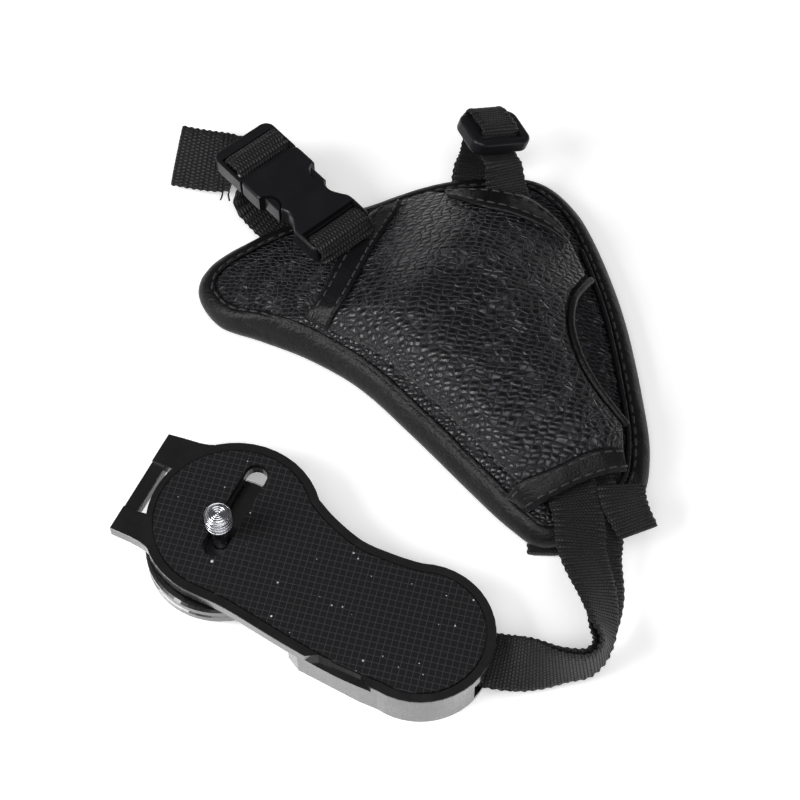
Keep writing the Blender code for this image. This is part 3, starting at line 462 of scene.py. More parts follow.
# Stitching: black bonded polyester thread, about eight stitches to the inch, pulled into the tape.
thread = finish("polyester_thread", {"Sheen Weight": 0.2})
TWIST_MM = 0.3
twist = add(thread, "TexNoise", {"Vector": add(thread, "TexCoord").outputs["Object"],
                                 "Scale": 1000 / TWIST_MM})
# Painted highlight and shade: the twist's raised strands take the lighter colour and its grooves the darker.
thread_tone = add(thread, "Mix", {0: twist.outputs["Fac"], 6: linear("#0e0e10"), 7: linear("#2b2a2e")},
                  data_type="RGBA")
thread_bump = add(thread, "Bump", {"Height": twist.outputs["Fac"], "Distance": 0.08 * MM})
feed(thread, Base_Color=thread_tone.outputs[2], Normal=thread_bump.outputs[0])
STITCH_PITCH = 3.1
STITCH_LONG = 2.3
THREAD_R = 0.26
THREAD_SIDES = 6
# One stitch from end to end: place along it, share of the thread's radius, and rise over the tape.
STITCH_SHAPE = [(-0.5, 0.4, -0.22), (-0.36, 0.9, 0.0), (0.0, 1.0, 0.06), (0.36, 0.9, 0.0),
                (0.5, 0.4, -0.22)]


def resample(path, pitch, closed=False):
    """The path at equal steps, every column carried along."""
    path = np.asarray(path, float)
    if closed:
        path = np.vstack([path, path[:1]])
    run = np.concatenate([[0.0], np.cumsum(np.linalg.norm(np.diff(path[:, :3], axis=0), axis=1))])
    at = np.linspace(0.0, run[-1], max(2, int(round(run[-1] / pitch)) + 1))
    out = np.column_stack([np.interp(at, run, path[:, k]) for k in range(path.shape[1])])
    return out[:-1] if closed else out


def follow(spots):
    """Each place of a path with its direction, its level side and its lift."""
    for spot, way in zip(spots, unit(np.gradient(spots, axis=0))):
        side = np.cross(way, (0.0, 0.0, 1.0))
        side /= np.linalg.norm(side)
        yield spot, way, side, np.cross(side, way)


def stitch_row(name, path, closed=False):
    """A run of separate stitches lying along the path, each a short bead that dips at its ends."""
    points, faces = [], []
    for spot, way, side, lift in follow(resample(path, STITCH_PITCH, closed)):
        first = len(points)
        for share, thin, dip in STITCH_SHAPE:
            for k in range(THREAD_SIDES):
                turn = math.tau * k / THREAD_SIDES
                points.append(spot + way * share * STITCH_LONG
                              + lift * (dip + THREAD_R * thin * math.sin(turn))
                              + side * THREAD_R * thin * math.cos(turn))
        last = len(points) - THREAD_SIDES
        for a in range(first, last, THREAD_SIDES):
            for k in range(THREAD_SIDES):
                m = (k + 1) % THREAD_SIDES
                faces.append((a + k, a + m, a + THREAD_SIDES + m, a + THREAD_SIDES + k))
        faces += [tuple(range(end, end + THREAD_SIDES)) for end in (first, last)]
    build(name, points, faces, [thread])


BINDING_SEAM = 2.9
for row_name, side, extra in (("binding_stitches", 1, 0.66), ("binding_back_stitches", -1, 0.86)):
    q = edge - outward * BINDING_SEAM
    level = pad_mid(*q.T) + side * (stack_half(*q.T) + GAP + extra)
    stitch_row(row_name, np.column_stack([q, level]), True)


# Leather sleeve: one panel of coarse pebbled leather over the padding, sewn down at the buckle's
# side and along the lower left edge, where it rolls over, and open at its crown, mouth and right side.
SLEEVE_THICK = 1.2
SLEEVE_GAP = 2.1
SLEEVE_LIFT = 7.5
SLEEVE_CELL = 0.6
# The sleeve begins to stand off here and is at its full height STAND_LONG farther along STAND_WAY.
STAND_FROM = (-16.0, 28.0)
STAND_WAY = (0.894, -0.447)
STAND_LONG = 26.0
# How squarely it rolls over at its edge, above ROLL_FROM and at ROLL_LONG below that.
ROLL = (2.5, 6.0)
ROLL_FROM = 30.0
ROLL_LONG = 50.0
sleeve_leather = pebbled("pebbled_leather_coarse", 1.5, 0.62, 12.0, 0.4)
CROWN = [(11.0, 56.4), (14.5, 56.0), (19.4, 55.2), (26.6, 52.8), (32.6, 51.2), (38.7, 46.2), (42.9, 40.4)]
CUT_OUT = [(46.9, 28.6), (45.0, 25.4), (41.9, 19.3), (40.5, 12.5), (40.7, 6.0), (42.7, -1.8),
           (45.9, -8.3), (49.6, -13.1), (53.2, -16.6)]
MOUTH = [(53.2, -27.6), (50.4, -28.9), (41.8, -32.4), (36.6, -34.6), (31.4, -35.9)]
BUCKLE_CORNER = (-6.4, 51.4)
CROWN_CORNER = (45.4, 33.4)
LOWER_CORNER = (-22.4, 15.2)
LOWER_SEAM = (-20.0, 26.5)
UPPER_SEAM = (-4.0, 8.5)


def sleeve_under(x, y):
    """Underside of the sleeve: low at the buckle's side, standing off the padding elsewhere."""
    rho = np.minimum(reach(x, y), 1.0)
    s = ((x - STAND_FROM[0]) * STAND_WAY[0] + (y - STAND_FROM[1]) * STAND_WAY[1]) / STAND_LONG
    s = np.clip(s, 0.0, 1.0)
    stand = SLEEVE_GAP + SLEEVE_LIFT * s * s * (3 - 2 * s)
    roll = ROLL[0] + (ROLL[1] - ROLL[0]) * np.clip((ROLL_FROM - y) / ROLL_LONG, 0.0, 1.0)
    return pad_mid(x, y) + stack_half(x, y) + GAP + stand * (1 - rho ** roll)


sewn_line = edge - outward * (BINDING_WIDTH + 0.3)
lower = sorted((tuple(p) for p in sewn_line if LOWER_SEAM[0] < p[0] < LOWER_SEAM[1] and p[1] < 16.0),
               key=lambda p: -p[0])
upper = sorted((tuple(p) for p in sewn_line if UPPER_SEAM[0] < p[0] < UPPER_SEAM[1] and p[1] > 30.0),
               key=lambda p: p[0])
sleeve_line = np.vstack([[BUCKLE_CORNER], upper, spline(CROWN, 6), [CROWN_CORNER], spline(CUT_OUT, 6),
                         spline(MOUTH, 6), lower])
sleeve_line[-1] = LOWER_CORNER
count = len(sleeve_line)
sleeve = build("sleeve", [(*p, z) for z in (0.0, SLEEVE_THICK) for p in sleeve_line],
               [tuple(range(count)), tuple(range(count, 2 * count))]
               + [(i, (i + 1) % count, count + (i + 1) % count, count + i) for i in range(count)],
               [sleeve_leather])
grid = sleeve.modifiers.new("grid", "REMESH")
grid.mode = "VOXEL"
grid.voxel_size = SLEEVE_CELL * MM
bake(sleeve)
sleeve.data.shade_smooth()
sleeve_points = coords(sleeve) / MM - CORNER
slack = np.array([wobble(x, y, 0.0, 16.0, 0.35) + wobble(x, y, 0.0, 6.0, 0.12, 3.0)
                  for x, y in sleeve_points[:, :2]])
sleeve_points[:, 2] += sleeve_under(*sleeve_points[:, :2].T) + 0.2 + slack * 0.5
set_coords(sleeve, (sleeve_points + CORNER) * MM)
even = sleeve.modifiers.new("even", "SMOOTH")
even.factor = 0.5
even.iterations = 4
bake(sleeve)
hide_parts("shell_panel")


# Mouth tapes: smooth coated tape folded over each raw mouth of the sleeve and stitched near both its
# edges. The tape pulls up into soft creases between the stitches.
mouth_tape = smooth_leather("coated_mouth_tape", "#121013", "#09080a", 7.0)
TAPE_THICK = 0.9
TAPE_EDGE = 0.35
TAPE_CELLS = 14
TAPE_SEAMS = {"inner": 0.22, "outer": 0.84}
# Each tape's node and the lines of its two edges.
TAPES = {
    "buckle_side_tape": (
        "buckle_side_trim",
        [BUCKLE_CORNER, (-8.7, 48.6), (-13.9, 36.5), (-19.5, 22.2), (-23.4, 15.4)],
        [(0.6, 54.6), (-0.8, 49.6), (-6.6, 35.8), (-12.8, 19.7), (-18.0, 12.0)]),
    "crown_tape": (
        "crown_trim",
        [(12.4, 52.6), (20.9, 45.6), (28.6, 43.0), (33.8, 41.3), (38.4, 39.7), (42.4, 37.0)],
        [(11.6, 56.6), (19.4, 55.5), (26.6, 53.2), (32.7, 51.5), (39.0, 46.4), (43.3, 40.4)]),
    "mouth_tape": (
        "mouth_trim",
        [(24.8, -34.4), (31.7, -31.9), (37.6, -29.2), (44.0, -25.8), (52.7, -22.9)],
        [(30.2, -38.6), (36.1, -35.9), (41.8, -32.8), (50.4, -29.2), (53.6, -28.0)]),
}
for tape_name, (node, *tape_edges) in TAPES.items():
    one, other = (spline(line, 14) for line in tape_edges)
    tape_rings = []
    for p, q in zip(one, other):
        low, high = [], []
        for k in range(TAPE_CELLS + 1):
            share = k / TAPE_CELLS
            r = p + (q - p) * share
            base = float(sleeve_under(*r)) + SLEEVE_THICK + 2 * GAP
            crown = 1 - abs(2 * share - 1) ** 6
            fold = wobble(*r, 0.0, 4.5, 0.22) + wobble(*r, 0.0, 1.8, 0.07, 9.0)
            low.append((*r, base))
            high.append((*r, base + TAPE_THICK * (TAPE_EDGE + (1 - TAPE_EDGE) * crown) + fold * crown))
        tape_rings.append(low + high[::-1])
    tape = loft(tape_name, tape_rings, [mouth_tape])
    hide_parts(node)
    for row, share in TAPE_SEAMS.items():
        line = one[2:-2] + (other - one)[2:-2] * share
        level = sleeve_under(*line.T) + SLEEVE_THICK + 2 * GAP + TAPE_THICK * 0.98
        stitch_row("%s_%s_stitches" % (tape_name, row), np.column_stack([line, level]))


# Piping: binding tape rolled round a thin cord and sewn along the cut-out, and again beside the far
# binding. The tape gathers slightly over the cord.
PIPING_PITCH = 0.7
PIPING_SIDES = 14
CUT_OUT_R = 1.0
SEAM_R = 0.7
SEAM_RUN = slice(120, 172)


def piping(name, path, radius, node):
    """A slightly uneven cord along the path, standing for its node."""
    rings = []
    for spot, way, side, lift in follow(resample(path, PIPING_PITCH)):
        rings.append([spot + (radius + wobble(*(spot + side * math.cos(t)), 2.4, 0.09))
                      * (math.cos(t) * side + math.sin(t) * lift)
                      for t in np.arange(PIPING_SIDES) * math.tau / PIPING_SIDES])
    obj = loft(name, rings, [binding_tape])
    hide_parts(node)


cut_line = spline(CUT_OUT, 8)
cut_run = unit(np.gradient(cut_line, axis=0))
cut_line = cut_line + 1.4 * np.stack([-cut_run[:, 1], cut_run[:, 0]], 1)
piping("cut_out_piping", np.column_stack([cut_line, sleeve_under(*cut_line.T) + 0.5]), CUT_OUT_R,
       "side_piping")
seam_line = (edge - outward * (BINDING_WIDTH + 1.1))[SEAM_RUN]
seam_level = pad_mid(*seam_line.T) + stack_half(*seam_line.T) + GAP + SEAM_R
piping("seam_piping_cord", np.column_stack([seam_line, seam_level]), SEAM_R, "seam_piping")


# Webbing: black nylon, woven as a thick basket with a bobbled selvedge. Every yarn bundle stands up
# as its own bead, its top painted lighter as a highlight and the gaps between beads painted near black as
# shade, and used patches are dusty. Rib and bead sizes were matched to the photograph; fibre and dust are
# finer than it shows and are guessed.
FIBRE_MM = 0.2
DUSTY_MM = 5.0


def woven(name, rib_mm, bead_mm):
    """Webbing's weave: ribs across the tape and the beads along each rib, on the piece's own UV."""
    mat = finish(name, {"Roughness": 0.62})
    lie = add(mat, "TexCoord").outputs["UV"]
    beads = add(mat, "TexBrick", {"Vector": lie, "Scale": 1.0, "Mortar Size": rib_mm * 0.26,
                                  "Mortar Smooth": 1.0, "Brick Width": bead_mm, "Row Height": rib_mm})
    place = add(mat, "TexCoord").outputs["Object"]
    fibre = add(mat, "TexNoise", {"Vector": place, "Scale": 1000 / FIBRE_MM})
    patch = add(mat, "TexNoise", {"Vector": place, "Scale": 1000 / DUSTY_MM})
    bead = add(mat, "Math", {0: 1.0, 1: beads.outputs["Fac"]}, operation="SUBTRACT")
    along = add(mat, "SeparateXYZ", {0: lie}).outputs[1]
    rib = add(mat, "Math", {0: along, 1: rib_mm / 2}, operation="PINGPONG")
    ridge = add(mat, "MapRange", {"Value": rib.outputs[0], "From Max": rib_mm * 0.3},
                interpolation_type="SMOOTHSTEP")
    crown = add(mat, "Math", {0: bead.outputs[0], 1: ridge.outputs[0]}, operation="MULTIPLY")
    height = add(mat, "Math", {0: fibre.outputs["Fac"], 1: 0.3, 2: crown.outputs[0]},
                 operation="MULTIPLY_ADD")
    bump = add(mat, "Bump", {"Height": height.outputs[0], "Distance": 0.45 * MM})
    # Painted highlight and shade: bead tops take the lighter colour and the gaps between beads near black.
    tone = add(mat, "Mix", {0: crown.outputs[0], 6: linear("#010101"), 7: linear("#212124")},
               data_type="RGBA")
    dusty = add(mat, "MapRange", {"Value": patch.outputs["Fac"], "From Min": 0.4, "From Max": 0.75,
                                  "To Max": 0.12})
    used = add(mat, "Mix", {0: dusty.outputs[0], 6: tone.outputs[2], 7: linear("#1b1b1c")}, data_type="RGBA")
    shine = add(mat, "MapRange", {"Value": crown.outputs[0], "To Min": 0.85, "To Max": 0.42})
    feed(mat, Base_Color=used.outputs[2], Roughness=shine.outputs[0], Normal=bump.outputs[0])
    return mat


basket = woven("nylon_basket_webbing", 0.75, 0.8)
RIB_PITCH = 1.8
SELVEDGE = 0.15
SELVEDGE_FROM = 0.74
SELVEDGE_SWELL = 0.4
WEB_STEPS = 12
WEB_PITCH = 0.3
WEB_CELLS = 16


def frames(stations):
    """Path, width direction and normal along webbing given as x, y, z, heading, rise."""
    rows = spline(stations, WEB_STEPS)
    path = rows[:, :3]
    along = unit(np.gradient(path, axis=0))
    head, rise = np.radians(rows[:, 3]), np.radians(rows[:, 4])
    across = np.stack([np.cos(head) * np.cos(rise), np.sin(head) * np.cos(rise), np.sin(rise)], 1)
    across = unit(across - along * (across * along).sum(1)[:, None])
    return path, across, np.cross(across, along), rows[:, 5:]


def webbing(name, node, path, across, up, width, thick, mat):
    """Woven tape along a path: rounded selvedges, bobbled where the weft turns back."""
    rings = []
    for i, row in enumerate(resample(np.column_stack([path, across, up]), WEB_PITCH)):
        spot, wide, lift = row[:3], row[3:6], row[6:]
        wide = wide / np.linalg.norm(wide)
        lift = lift / np.linalg.norm(lift)
        loop = math.sin(math.tau * i * WEB_PITCH / RIB_PITCH)
        half = width / 2 + SELVEDGE * loop
        ring = []
        for face in (-1, 1):
            for k in range(WEB_CELLS + 1):
                share = -1 + 2 * k / WEB_CELLS
                swell = SELVEDGE_SWELL * loop if abs(share) > SELVEDGE_FROM else (
                    0.05 * math.cos(math.pi * share * 6))
                deep = thick / 2 * (1 - abs(share) ** 8) ** 0.5 * (1 + swell)
                ring.append(spot + wide * share * half * -face + lift * face * max(deep, 0.08))
        rings.append(ring)
    obj = loft(name, rings, [mat])
    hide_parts(node)


# Strap from the hand pad to the plate: it leaves the mouth, twists down and turns round the steel
# pin in the cover, then comes back under itself into the sleeve.
PLATE_AT = np.array((-39.0, -41.0))
PLATE_TURN = math.radians(-25.45)
WEB_WIDE = 12.5
WEB_THICK = 1.15
PIN_X = 60.0
PIN_MIDDLE_Y = -4.6
PIN_Z = 4.5
PIN_R = 1.2
# Each station: place, heading and rise of the width, then how far aside and below the return lies.
PLATE_STRAP = [(36.5, -14.0, 14.6, 12, -2, 6.0, 1.8), (38.4, -24.0, 13.0, 22, -3, 5.8, 1.8),
               (40.4, -32.0, 12.0, 30, -3, 5.2, 1.8), (41.8, -40.0, 12.2, 34, -9, 5.0, 1.8),
               (42.2, -49.0, 12.2, 29, -17, 4.8, 1.8), (45.0, -59.0, 11.6, 32, -32, 4.0, 1.8),
               (46.2, -66.4, 10.9, 18, -52, 2.6, 1.8), (46.2, -72.4, 10.3, -6, -80, 1.4, 1.8),
               (42.8, -76.2, 9.6, -50, -88, 0.8, 1.8), (36.8, -76.4, 8.7, -82, -80, 0.5, 1.6),
               (30.4, -75.6, 7.8, -98, -52, 0.3, 1.6), (22.6, -73.9, 6.9, -112, -12, 0.0, 2.4),
               (13.2, -70.9, 6.6, -115.45, 0, 0.0, 4.2)]


def on_plate(x, y):
    """A place in the plate's own frame, in the drawing's frame."""
    c, s = math.cos(PLATE_TURN), math.sin(PLATE_TURN)
    return PLATE_AT + np.array((x * c - y * s, x * s + y * c))


web_run, web_wide, web_face, web_back = frames(PLATE_STRAP)
pin_middle = np.array((*on_plate(PIN_X, PIN_MIDDLE_Y), PIN_Z))
pin_in = -np.array((*(on_plate(1, 0) - on_plate(0, 0)), 0.0))
face_up = 1.0 if web_face[len(web_face) // 2][2] > 0 else -1.0
spokes = np.array([math.sin(a) * pin_in + (0.0, 0.0, math.cos(a))
                   for a in np.radians(np.linspace(0, 180, 17))])
returns = web_run + web_wide * web_back[:, :1] - face_up * web_face * web_back[:, 1:]
webbing("plate_strap", "plate_webbing",
        np.vstack([web_run[:-1], pin_middle + (PIN_R + GAP + WEB_THICK / 2) * spokes, returns[:-1][::-1]]),
        np.vstack([web_wide[:-1], np.repeat(web_wide[-1:], len(spokes), 0), web_wide[:-1][::-1]]),
        np.vstack([web_face[:-1], face_up * spokes, -web_face[:-1][::-1]]), WEB_WIDE, WEB_THICK, basket)

# Tail of that strap: the same webbing, left long past the mouth and drawn 1 mm narrower. A folded end
# of it is stitched flat under the lower tip.
TAB_WIDE = 8.0
TAB_THICK = 1.05
tail = frames([(52.1, -31.2, 12.0, 22, -2), (52.4, -34.4, 12.0, 32, -4), (53.6, -38.4, 11.4, 42, -8),
               (55.8, -43.0, 10.4, 48, -12)])[:3]
webbing("plate_strap_tail", "webbing_tail", *tail, WEB_WIDE - 1.0, WEB_THICK, basket)
tab = frames([(34.4, -37.5, 0.8, 3, 0), (34.3, -40.8, 0.9, 3, 0), (34.2, -44.0, 1.2, 3, 0)])[:3]
webbing("sewn_tab", "stitched_tab", *tab, TAB_WIDE, TAB_THICK, basket)


# Wrist webbing: ribbed nylon, 15 mm stock drawn at 16.2 mm so that it fills the plug's window, from
# under the pad over the plug's crossbar. Its cut end was never sealed, so two yarns hang loose.
ribbed = woven("nylon_ribbed_webbing", 1.3, 0.9)
WRIST_WIDE = 16.2
THIN_WEB = 1.0
PLUG_AT = np.array((-41.8, 68.9, 16.6))
SOCKET_END = np.array((-13.8, 36.8, 17.1))
buckle_x = (SOCKET_END - PLUG_AT) / np.linalg.norm(SOCKET_END - PLUG_AT)
buckle_y = np.cross((0.0, 0.0, 1.0), buckle_x)
buckle_y /= np.linalg.norm(buckle_y)
buckle_z = np.cross(buckle_x, buckle_y)
BUCKLE_HEAD = math.degrees(math.atan2(buckle_y[1], buckle_y[0]))


def on_buckle(x, z):
    """A station of webbing through the buckle: how far along it and above its middle."""
    return (*(PLUG_AT + buckle_x * x + buckle_z * z), BUCKLE_HEAD, 0)


over_bar = [on_buckle(*p) for p in ((10.6, -3.8), (10.4, -1.7), (10.5, 0.8), (10.2, 2.7), (8.6, 3.4),
                                    (6.2, 3.5), (4.2, 2.6), (3.5, 0.8), (3.5, -1.0), (3.7, -2.7))]
wrist = frames([(-19.5, 44.0, 0.9, 30, 0), (-22.0, 47.0, 0.9, 34, 0), (-24.6, 49.6, 0.9, 38, 0),
                (-27.4, 52.2, 1.3, 40, 0), (-31.2, 54.6, 3.0, 40, 0), (-34.6, 57.2, 5.4, 40, 0),
                (-36.8, 59.0, 7.8, 40, 0), (-36.6, 60.0, 10.4, 40, 0)] + over_bar
               + [(-39.8, 67.6, 11.7, 41, 1), (-41.3, 68.9, 9.5, 49, 5), (-43.3, 69.8, 7.8, 61, 15),
                  (-46.0, 70.3, 6.9, 72, 24), (-49.8, 71.0, 6.5, 77, 29), (-54.5, 72.0, 6.3, 78, 31),
                  (-59.7, 73.3, 6.2, 77, 32)])[:3]
webbing("wrist_strap", "wrist_webbing", *wrist, WRIST_WIDE, THIN_WEB, ribbed)

YARN_R = 0.24
YARN_SIDES = 6
LOOSE_YARNS = {
    "loose_yarn_left": [(-46.7, 60.0, 7.2), (-46.8, 59.4, 6.9), (-47.0, 58.8, 6.6), (-47.3, 58.2, 6.3)],
    "loose_yarn_right": [(-44.9, 60.2, 7.4), (-45.2, 59.5, 7.0), (-45.1, 58.8, 6.6), (-44.9, 58.0, 6.2)],
}
for yarn_name, route in LOOSE_YARNS.items():
    turns = np.radians(np.arange(YARN_SIDES) * 360.0 / YARN_SIDES)
    yarn = loft(yarn_name, [[(x + YARN_R * math.cos(t), y, z + YARN_R * math.sin(t)) for t in turns]
                            for x, y, z in spline(route, 4)], [ribbed])

# Short strap: the same webbing, turned round the socket's end bar and sewn under the sleeve's tape.
short = frames([on_buckle(*p) for p in ((44.6, -1.2), (43.2, 0.7), (41.9, 2.3), (40.1, 2.7), (38.2, 2.3),
                                        (37.0, 0.9), (36.8, -1.0), (37.6, -2.5), (39.8, -2.8))])[:3]
webbing("socket_strap", "socket_webbing", *short, WRIST_WIDE, THIN_WEB, ribbed)

# Lug webbing: basket webbing, 10 mm stock drawn at 11.2 mm, out of the crown, through the glide, round
# its bar and back to the edge.
LUG_WIDE = 11.2
GLIDE_AT = np.array((24.3, 69.6, 20.0))
glide_x = np.array((0.85, 0.39, -0.35))
glide_x /= np.linalg.norm(glide_x)
glide_y = np.array((-0.335, 0.94, -0.067))
glide_y -= glide_x * (glide_x @ glide_y)
glide_y /= np.linalg.norm(glide_y)
glide_z = np.cross(glide_x, glide_y)
glide_head = math.degrees(math.atan2(glide_x[1], glide_x[0]))
glide_roll = math.degrees(math.asin(glide_x[2]))
through = [(*(GLIDE_AT + glide_y * y + glide_z * z), glide_head, glide_roll)
           for y, z in ((-8.2, -3.4), (-5.4, -3.2), (-3.6, -2.4), (-2.9, -0.9), (-2.75, 0.8), (-2.3, 2.2),
                        (-1.2, 3.0), (0.6, 3.1), (2.6, 2.9), (4.8, 2.8), (6.2, 2.5), (7.0, 1.2), (7.0, -0.8),
                        (6.2, -2.6), (4.2, -4.4))]
lug = frames([(31.4, 40.0, 12.6, 10, 0), (30.2, 47.0, 11.4, 11, 0), (28.9, 53.0, 10.9, 13, -2),
              (27.8, 56.8, 12.2, 15, -8), (27.2, 59.4, 14.4, 18, -16)] + through
             + [(21.0, 70.8, 10.4, 12, -14), (19.9, 69.8, 6.0, 8, -5), (19.3, 67.2, 2.2, 7, 0),
                (19.1, 62.4, 0.8, 7, 0)])[:3]
webbing("lug_strap", "lug_webbing", *lug, LUG_WIDE, THIN_WEB, basket)


# Side-release buckle and glide: acetal, moulded with a fine spark-eroded grain that is satin on the
# flats and polished where webbing and fingers rub.
HANDLED_MM = 6.0


def moulded(name, low, top, rough, grain_mm, depth_mm, shine_level, gloss):
    """Moulded plastic: two tones, roughness, size and depth of its grain, its shine and its skin's."""
    mat = finish(name, {"Specular IOR Level": shine_level, "Coat Weight": gloss, "Coat IOR": 1.7,
                        "Coat Roughness": 0.12})
    place = add(mat, "TexCoord").outputs["Object"]
    grain = add(mat, "TexNoise", {"Vector": place, "Scale": 1000 / grain_mm, "Detail": 3.0})
    handled = add(mat, "TexNoise", {"Vector": place, "Scale": 1000 / HANDLED_MM, "Detail": 4.0,
                                     "Roughness": 0.65})
    bump = add(mat, "Bump", {"Height": grain.outputs["Fac"], "Distance": depth_mm * MM, "Strength": 0.7})
    tone = add(mat, "Mix", {0: handled.outputs["Fac"], 6: linear(low), 7: linear(top)}, data_type="RGBA")
    shine = add(mat, "MapRange", {"Value": handled.outputs["Fac"], "From Min": 0.3, "From Max": 0.7,
                                  "To Min": rough - 0.06, "To Max": rough + 0.1})
    feed(mat, Base_Color=tone.outputs[2], Roughness=shine.outputs[0], Normal=bump.outputs[0])
    return mat


def dress(mat, *names):
    """Gives CAD nodes that keep their shape their real finish."""
    for node in names:
        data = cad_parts[node].data
        data.materials.clear()
        data.materials.append(mat)


acetal = moulded("moulded_acetal", "#121214", "#19191c", 0.34, 0.22, 0.03, 0.22, 0.06)
dress(acetal, "slide_washer")
HALF_WIDE = 9.3
HALF_THICK = 3.1
NOTCH = (22.9, 9.0)
NOTCH_R = 3.5
# Cuts go this far up and down, past both faces of the piece.
THROUGH = 9.0
# Half widths of the socket's window, the plug's window and the crossbar in it.
SOCKET_GAP = 8.3
PLUG_GAP = 8.1
BAR_HALF = 8.6


def slab(outline, low, high, edge_mm=0.0, steps=3):
    """A block pulled up from a drawn outline, its edges rounded; millimetres at the world's centre."""
    bpy.ops.object.select_all(action="DESELECT")
    bpy.ops.mesh.primitive_circle_add(vertices=len(outline), fill_type="NGON")
    obj = bpy.context.object
    for point, (x, y) in zip(obj.data.vertices, outline):
        point.co = (x, y, low)
    bpy.ops.object.mode_set(mode="EDIT")
    bpy.ops.mesh.select_all(action="SELECT")
    bpy.ops.mesh.extrude_region_move(TRANSFORM_OT_translate={"value": (0.0, 0.0, high - low)})
    bpy.ops.mesh.select_all(action="SELECT")
    bpy.ops.mesh.normals_make_consistent(inside=False)
    bpy.ops.object.mode_set(mode="OBJECT")
    return rounded(obj, edge_mm, steps) if edge_mm else obj


def rounded(obj, edge_mm, steps):
    """Rounds the sharp edges that the piece has by now."""
    soft = obj.modifiers.new("rounded", "BEVEL")
    soft.width = edge_mm
    soft.segments = steps
    soft.limit_method = "ANGLE"
    soft.angle_limit = math.radians(38.0)
    return bake(obj)


def carve(obj, tool, how="DIFFERENCE"):
    """Cuts the tool from the piece, or joins it on."""
    knife = obj.modifiers.new("carve", "BOOLEAN")
    knife.operation = how
    knife.solver = "EXACT"
    knife.object = tool
    bake(obj)
    bpy.data.objects.remove(tool, do_unlink=True)


def set_in(obj, name, node, origin, axes):
    """Turns an acetal piece drawn flat into its place, in metres, and lets it stand for its node."""
    turn = Matrix([(*column, 0.0) for column in zip(*axes)] + [(0.0, 0.0, 0.0, 1.0)])
    at = Vector(origin) + Vector(CORNER)
    obj.data.transform(Matrix.Scale(MM, 4) @ Matrix.Translation(at) @ turn)
    bpy.ops.object.select_all(action="DESELECT")
    obj.select_set(True)
    bpy.context.view_layer.objects.active = obj
    bpy.ops.object.shade_smooth_by_angle(angle=math.radians(35.0))
    even_shade = obj.modifiers.new("even_shade", "WEIGHTED_NORMAL")
    even_shade.keep_sharp = True
    bake(obj)
    obj.name = name
    obj.data.materials.clear()
    obj.data.materials.append(acetal)
    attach(obj, STRAP)
    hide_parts(node)


def both_sides(points):
    """Closes an outline drawn for one side by its mirror image."""
    return [tuple(p) for p in points] + [(x, -y) for x, y in points[::-1]]


def box(x0, x1, y0, y1):
    """A rectangle's outline."""
    return [(x0, y0), (x1, y0), (x1, y1), (x0, y1)]


def bow(x, y, r, start, end, count):
    """Points along an arc, angles in degrees."""
    return [(x + r * math.cos(t), y + r * math.sin(t)) for t in np.radians(np.linspace(start, end, count))]


buckle_axes = (buckle_x, buckle_y, buckle_z)
waist = spline([(24.2, 8.6), (26.0, 7.2), (27.8, 6.5), (29.6, 6.7), (31.6, 7.8), (33.4, 8.9),
                (35.0, 9.15)], 4)
socket = slab(both_sides([(11.9, 8.7), (12.6, 9.2), (14.0, 9.3), (18.4, 9.3)] + list(waist)
                         + [(36.6, 9.15), (40.4, 9.1)] + bow(40.4, 7.7, 1.4, 90.0, 10.0, 5)[1:]),
              -HALF_THICK + 0.5, HALF_THICK - 0.2, 2.3, 8)
carve(socket, slab(box(36.0, 38.5, -SOCKET_GAP, SOCKET_GAP), -THROUGH, THROUGH))
carve(socket, slab(box(35.6, 41.2, -SOCKET_GAP, SOCKET_GAP), 1.2, THROUGH))
carve(socket, slab(both_sides([(10.0, 6.9), (24.2, 6.9), (27.8, 4.9)]), -1.9, 1.9))
for way in (-1.0, 1.0):
    carve(socket, slab(bow(NOTCH[0], way * NOTCH[1], NOTCH_R, 0.0, 345.0, 24), -THROUGH, THROUGH))
rounded(socket, 0.3, 2)
set_in(socket, "buckle_body", "buckle_socket", PLUG_AT, buckle_axes)

plug = slab(both_sides(bow(2.6, HALF_WIDE - 2.6, 2.6, 180.0, 90.0, 7) + [(11.8, HALF_WIDE)]), -2.2, 2.2)
carve(plug, slab(box(2.9, 11.1, -PLUG_GAP, PLUG_GAP), -THROUGH, THROUGH))
rounded(plug, 0.8, 4)
carve(plug, slab(box(5.5, 7.5, -BAR_HALF, BAR_HALF), -1.1, 1.1, 0.5, 3), "UNION")
for way in (-1.0, 1.0):
    arm = [(x, way * y) for x, y in ((11.0, 5.9), (19.2, 6.4), (24.0, 6.3), (26.2, 4.4), (25.6, 3.8),
                                     (20.0, 4.6), (11.0, 4.0))]
    carve(plug, slab(arm, -1.5, 1.5), "UNION")
    button = bow(NOTCH[0], way * NOTCH[1], NOTCH_R - 0.3, way * -158.0, way * -22.0, 16)
    carve(plug, slab(button, -2.3, 2.3, 0.7, 3), "UNION")
set_in(plug, "buckle_prongs", "buckle_plug", PLUG_AT, buckle_axes)

# Glide: one moulded frame with a centre bar, its outside rounded all over.
GLIDE_HALF = (8.8, 6.2)
GLIDE_THICK = 4.0
GLIDE_CORNER = 3.0
GLIDE_SLOT_HALF = 6.0
GLIDE_SLOTS = ((-4.3, -1.1), (1.1, 4.3))
frame_line = []
for cx, cy, start in ((1, 1, 0.0), (-1, 1, 90.0), (-1, -1, 180.0), (1, -1, 270.0)):
    frame_line += bow(cx * (GLIDE_HALF[0] - GLIDE_CORNER), cy * (GLIDE_HALF[1] - GLIDE_CORNER), GLIDE_CORNER,
                      start, start + 90.0, 8)
glide = slab(frame_line, -GLIDE_THICK / 2, GLIDE_THICK / 2, 0.95, 5)
for low, high in GLIDE_SLOTS:
    carve(glide, slab(box(-GLIDE_SLOT_HALF, GLIDE_SLOT_HALF, low, high), -THROUGH, THROUGH))
set_in(glide, "lug_glide", "tri_glide", GLIDE_AT, (glide_x, glide_y, glide_z))

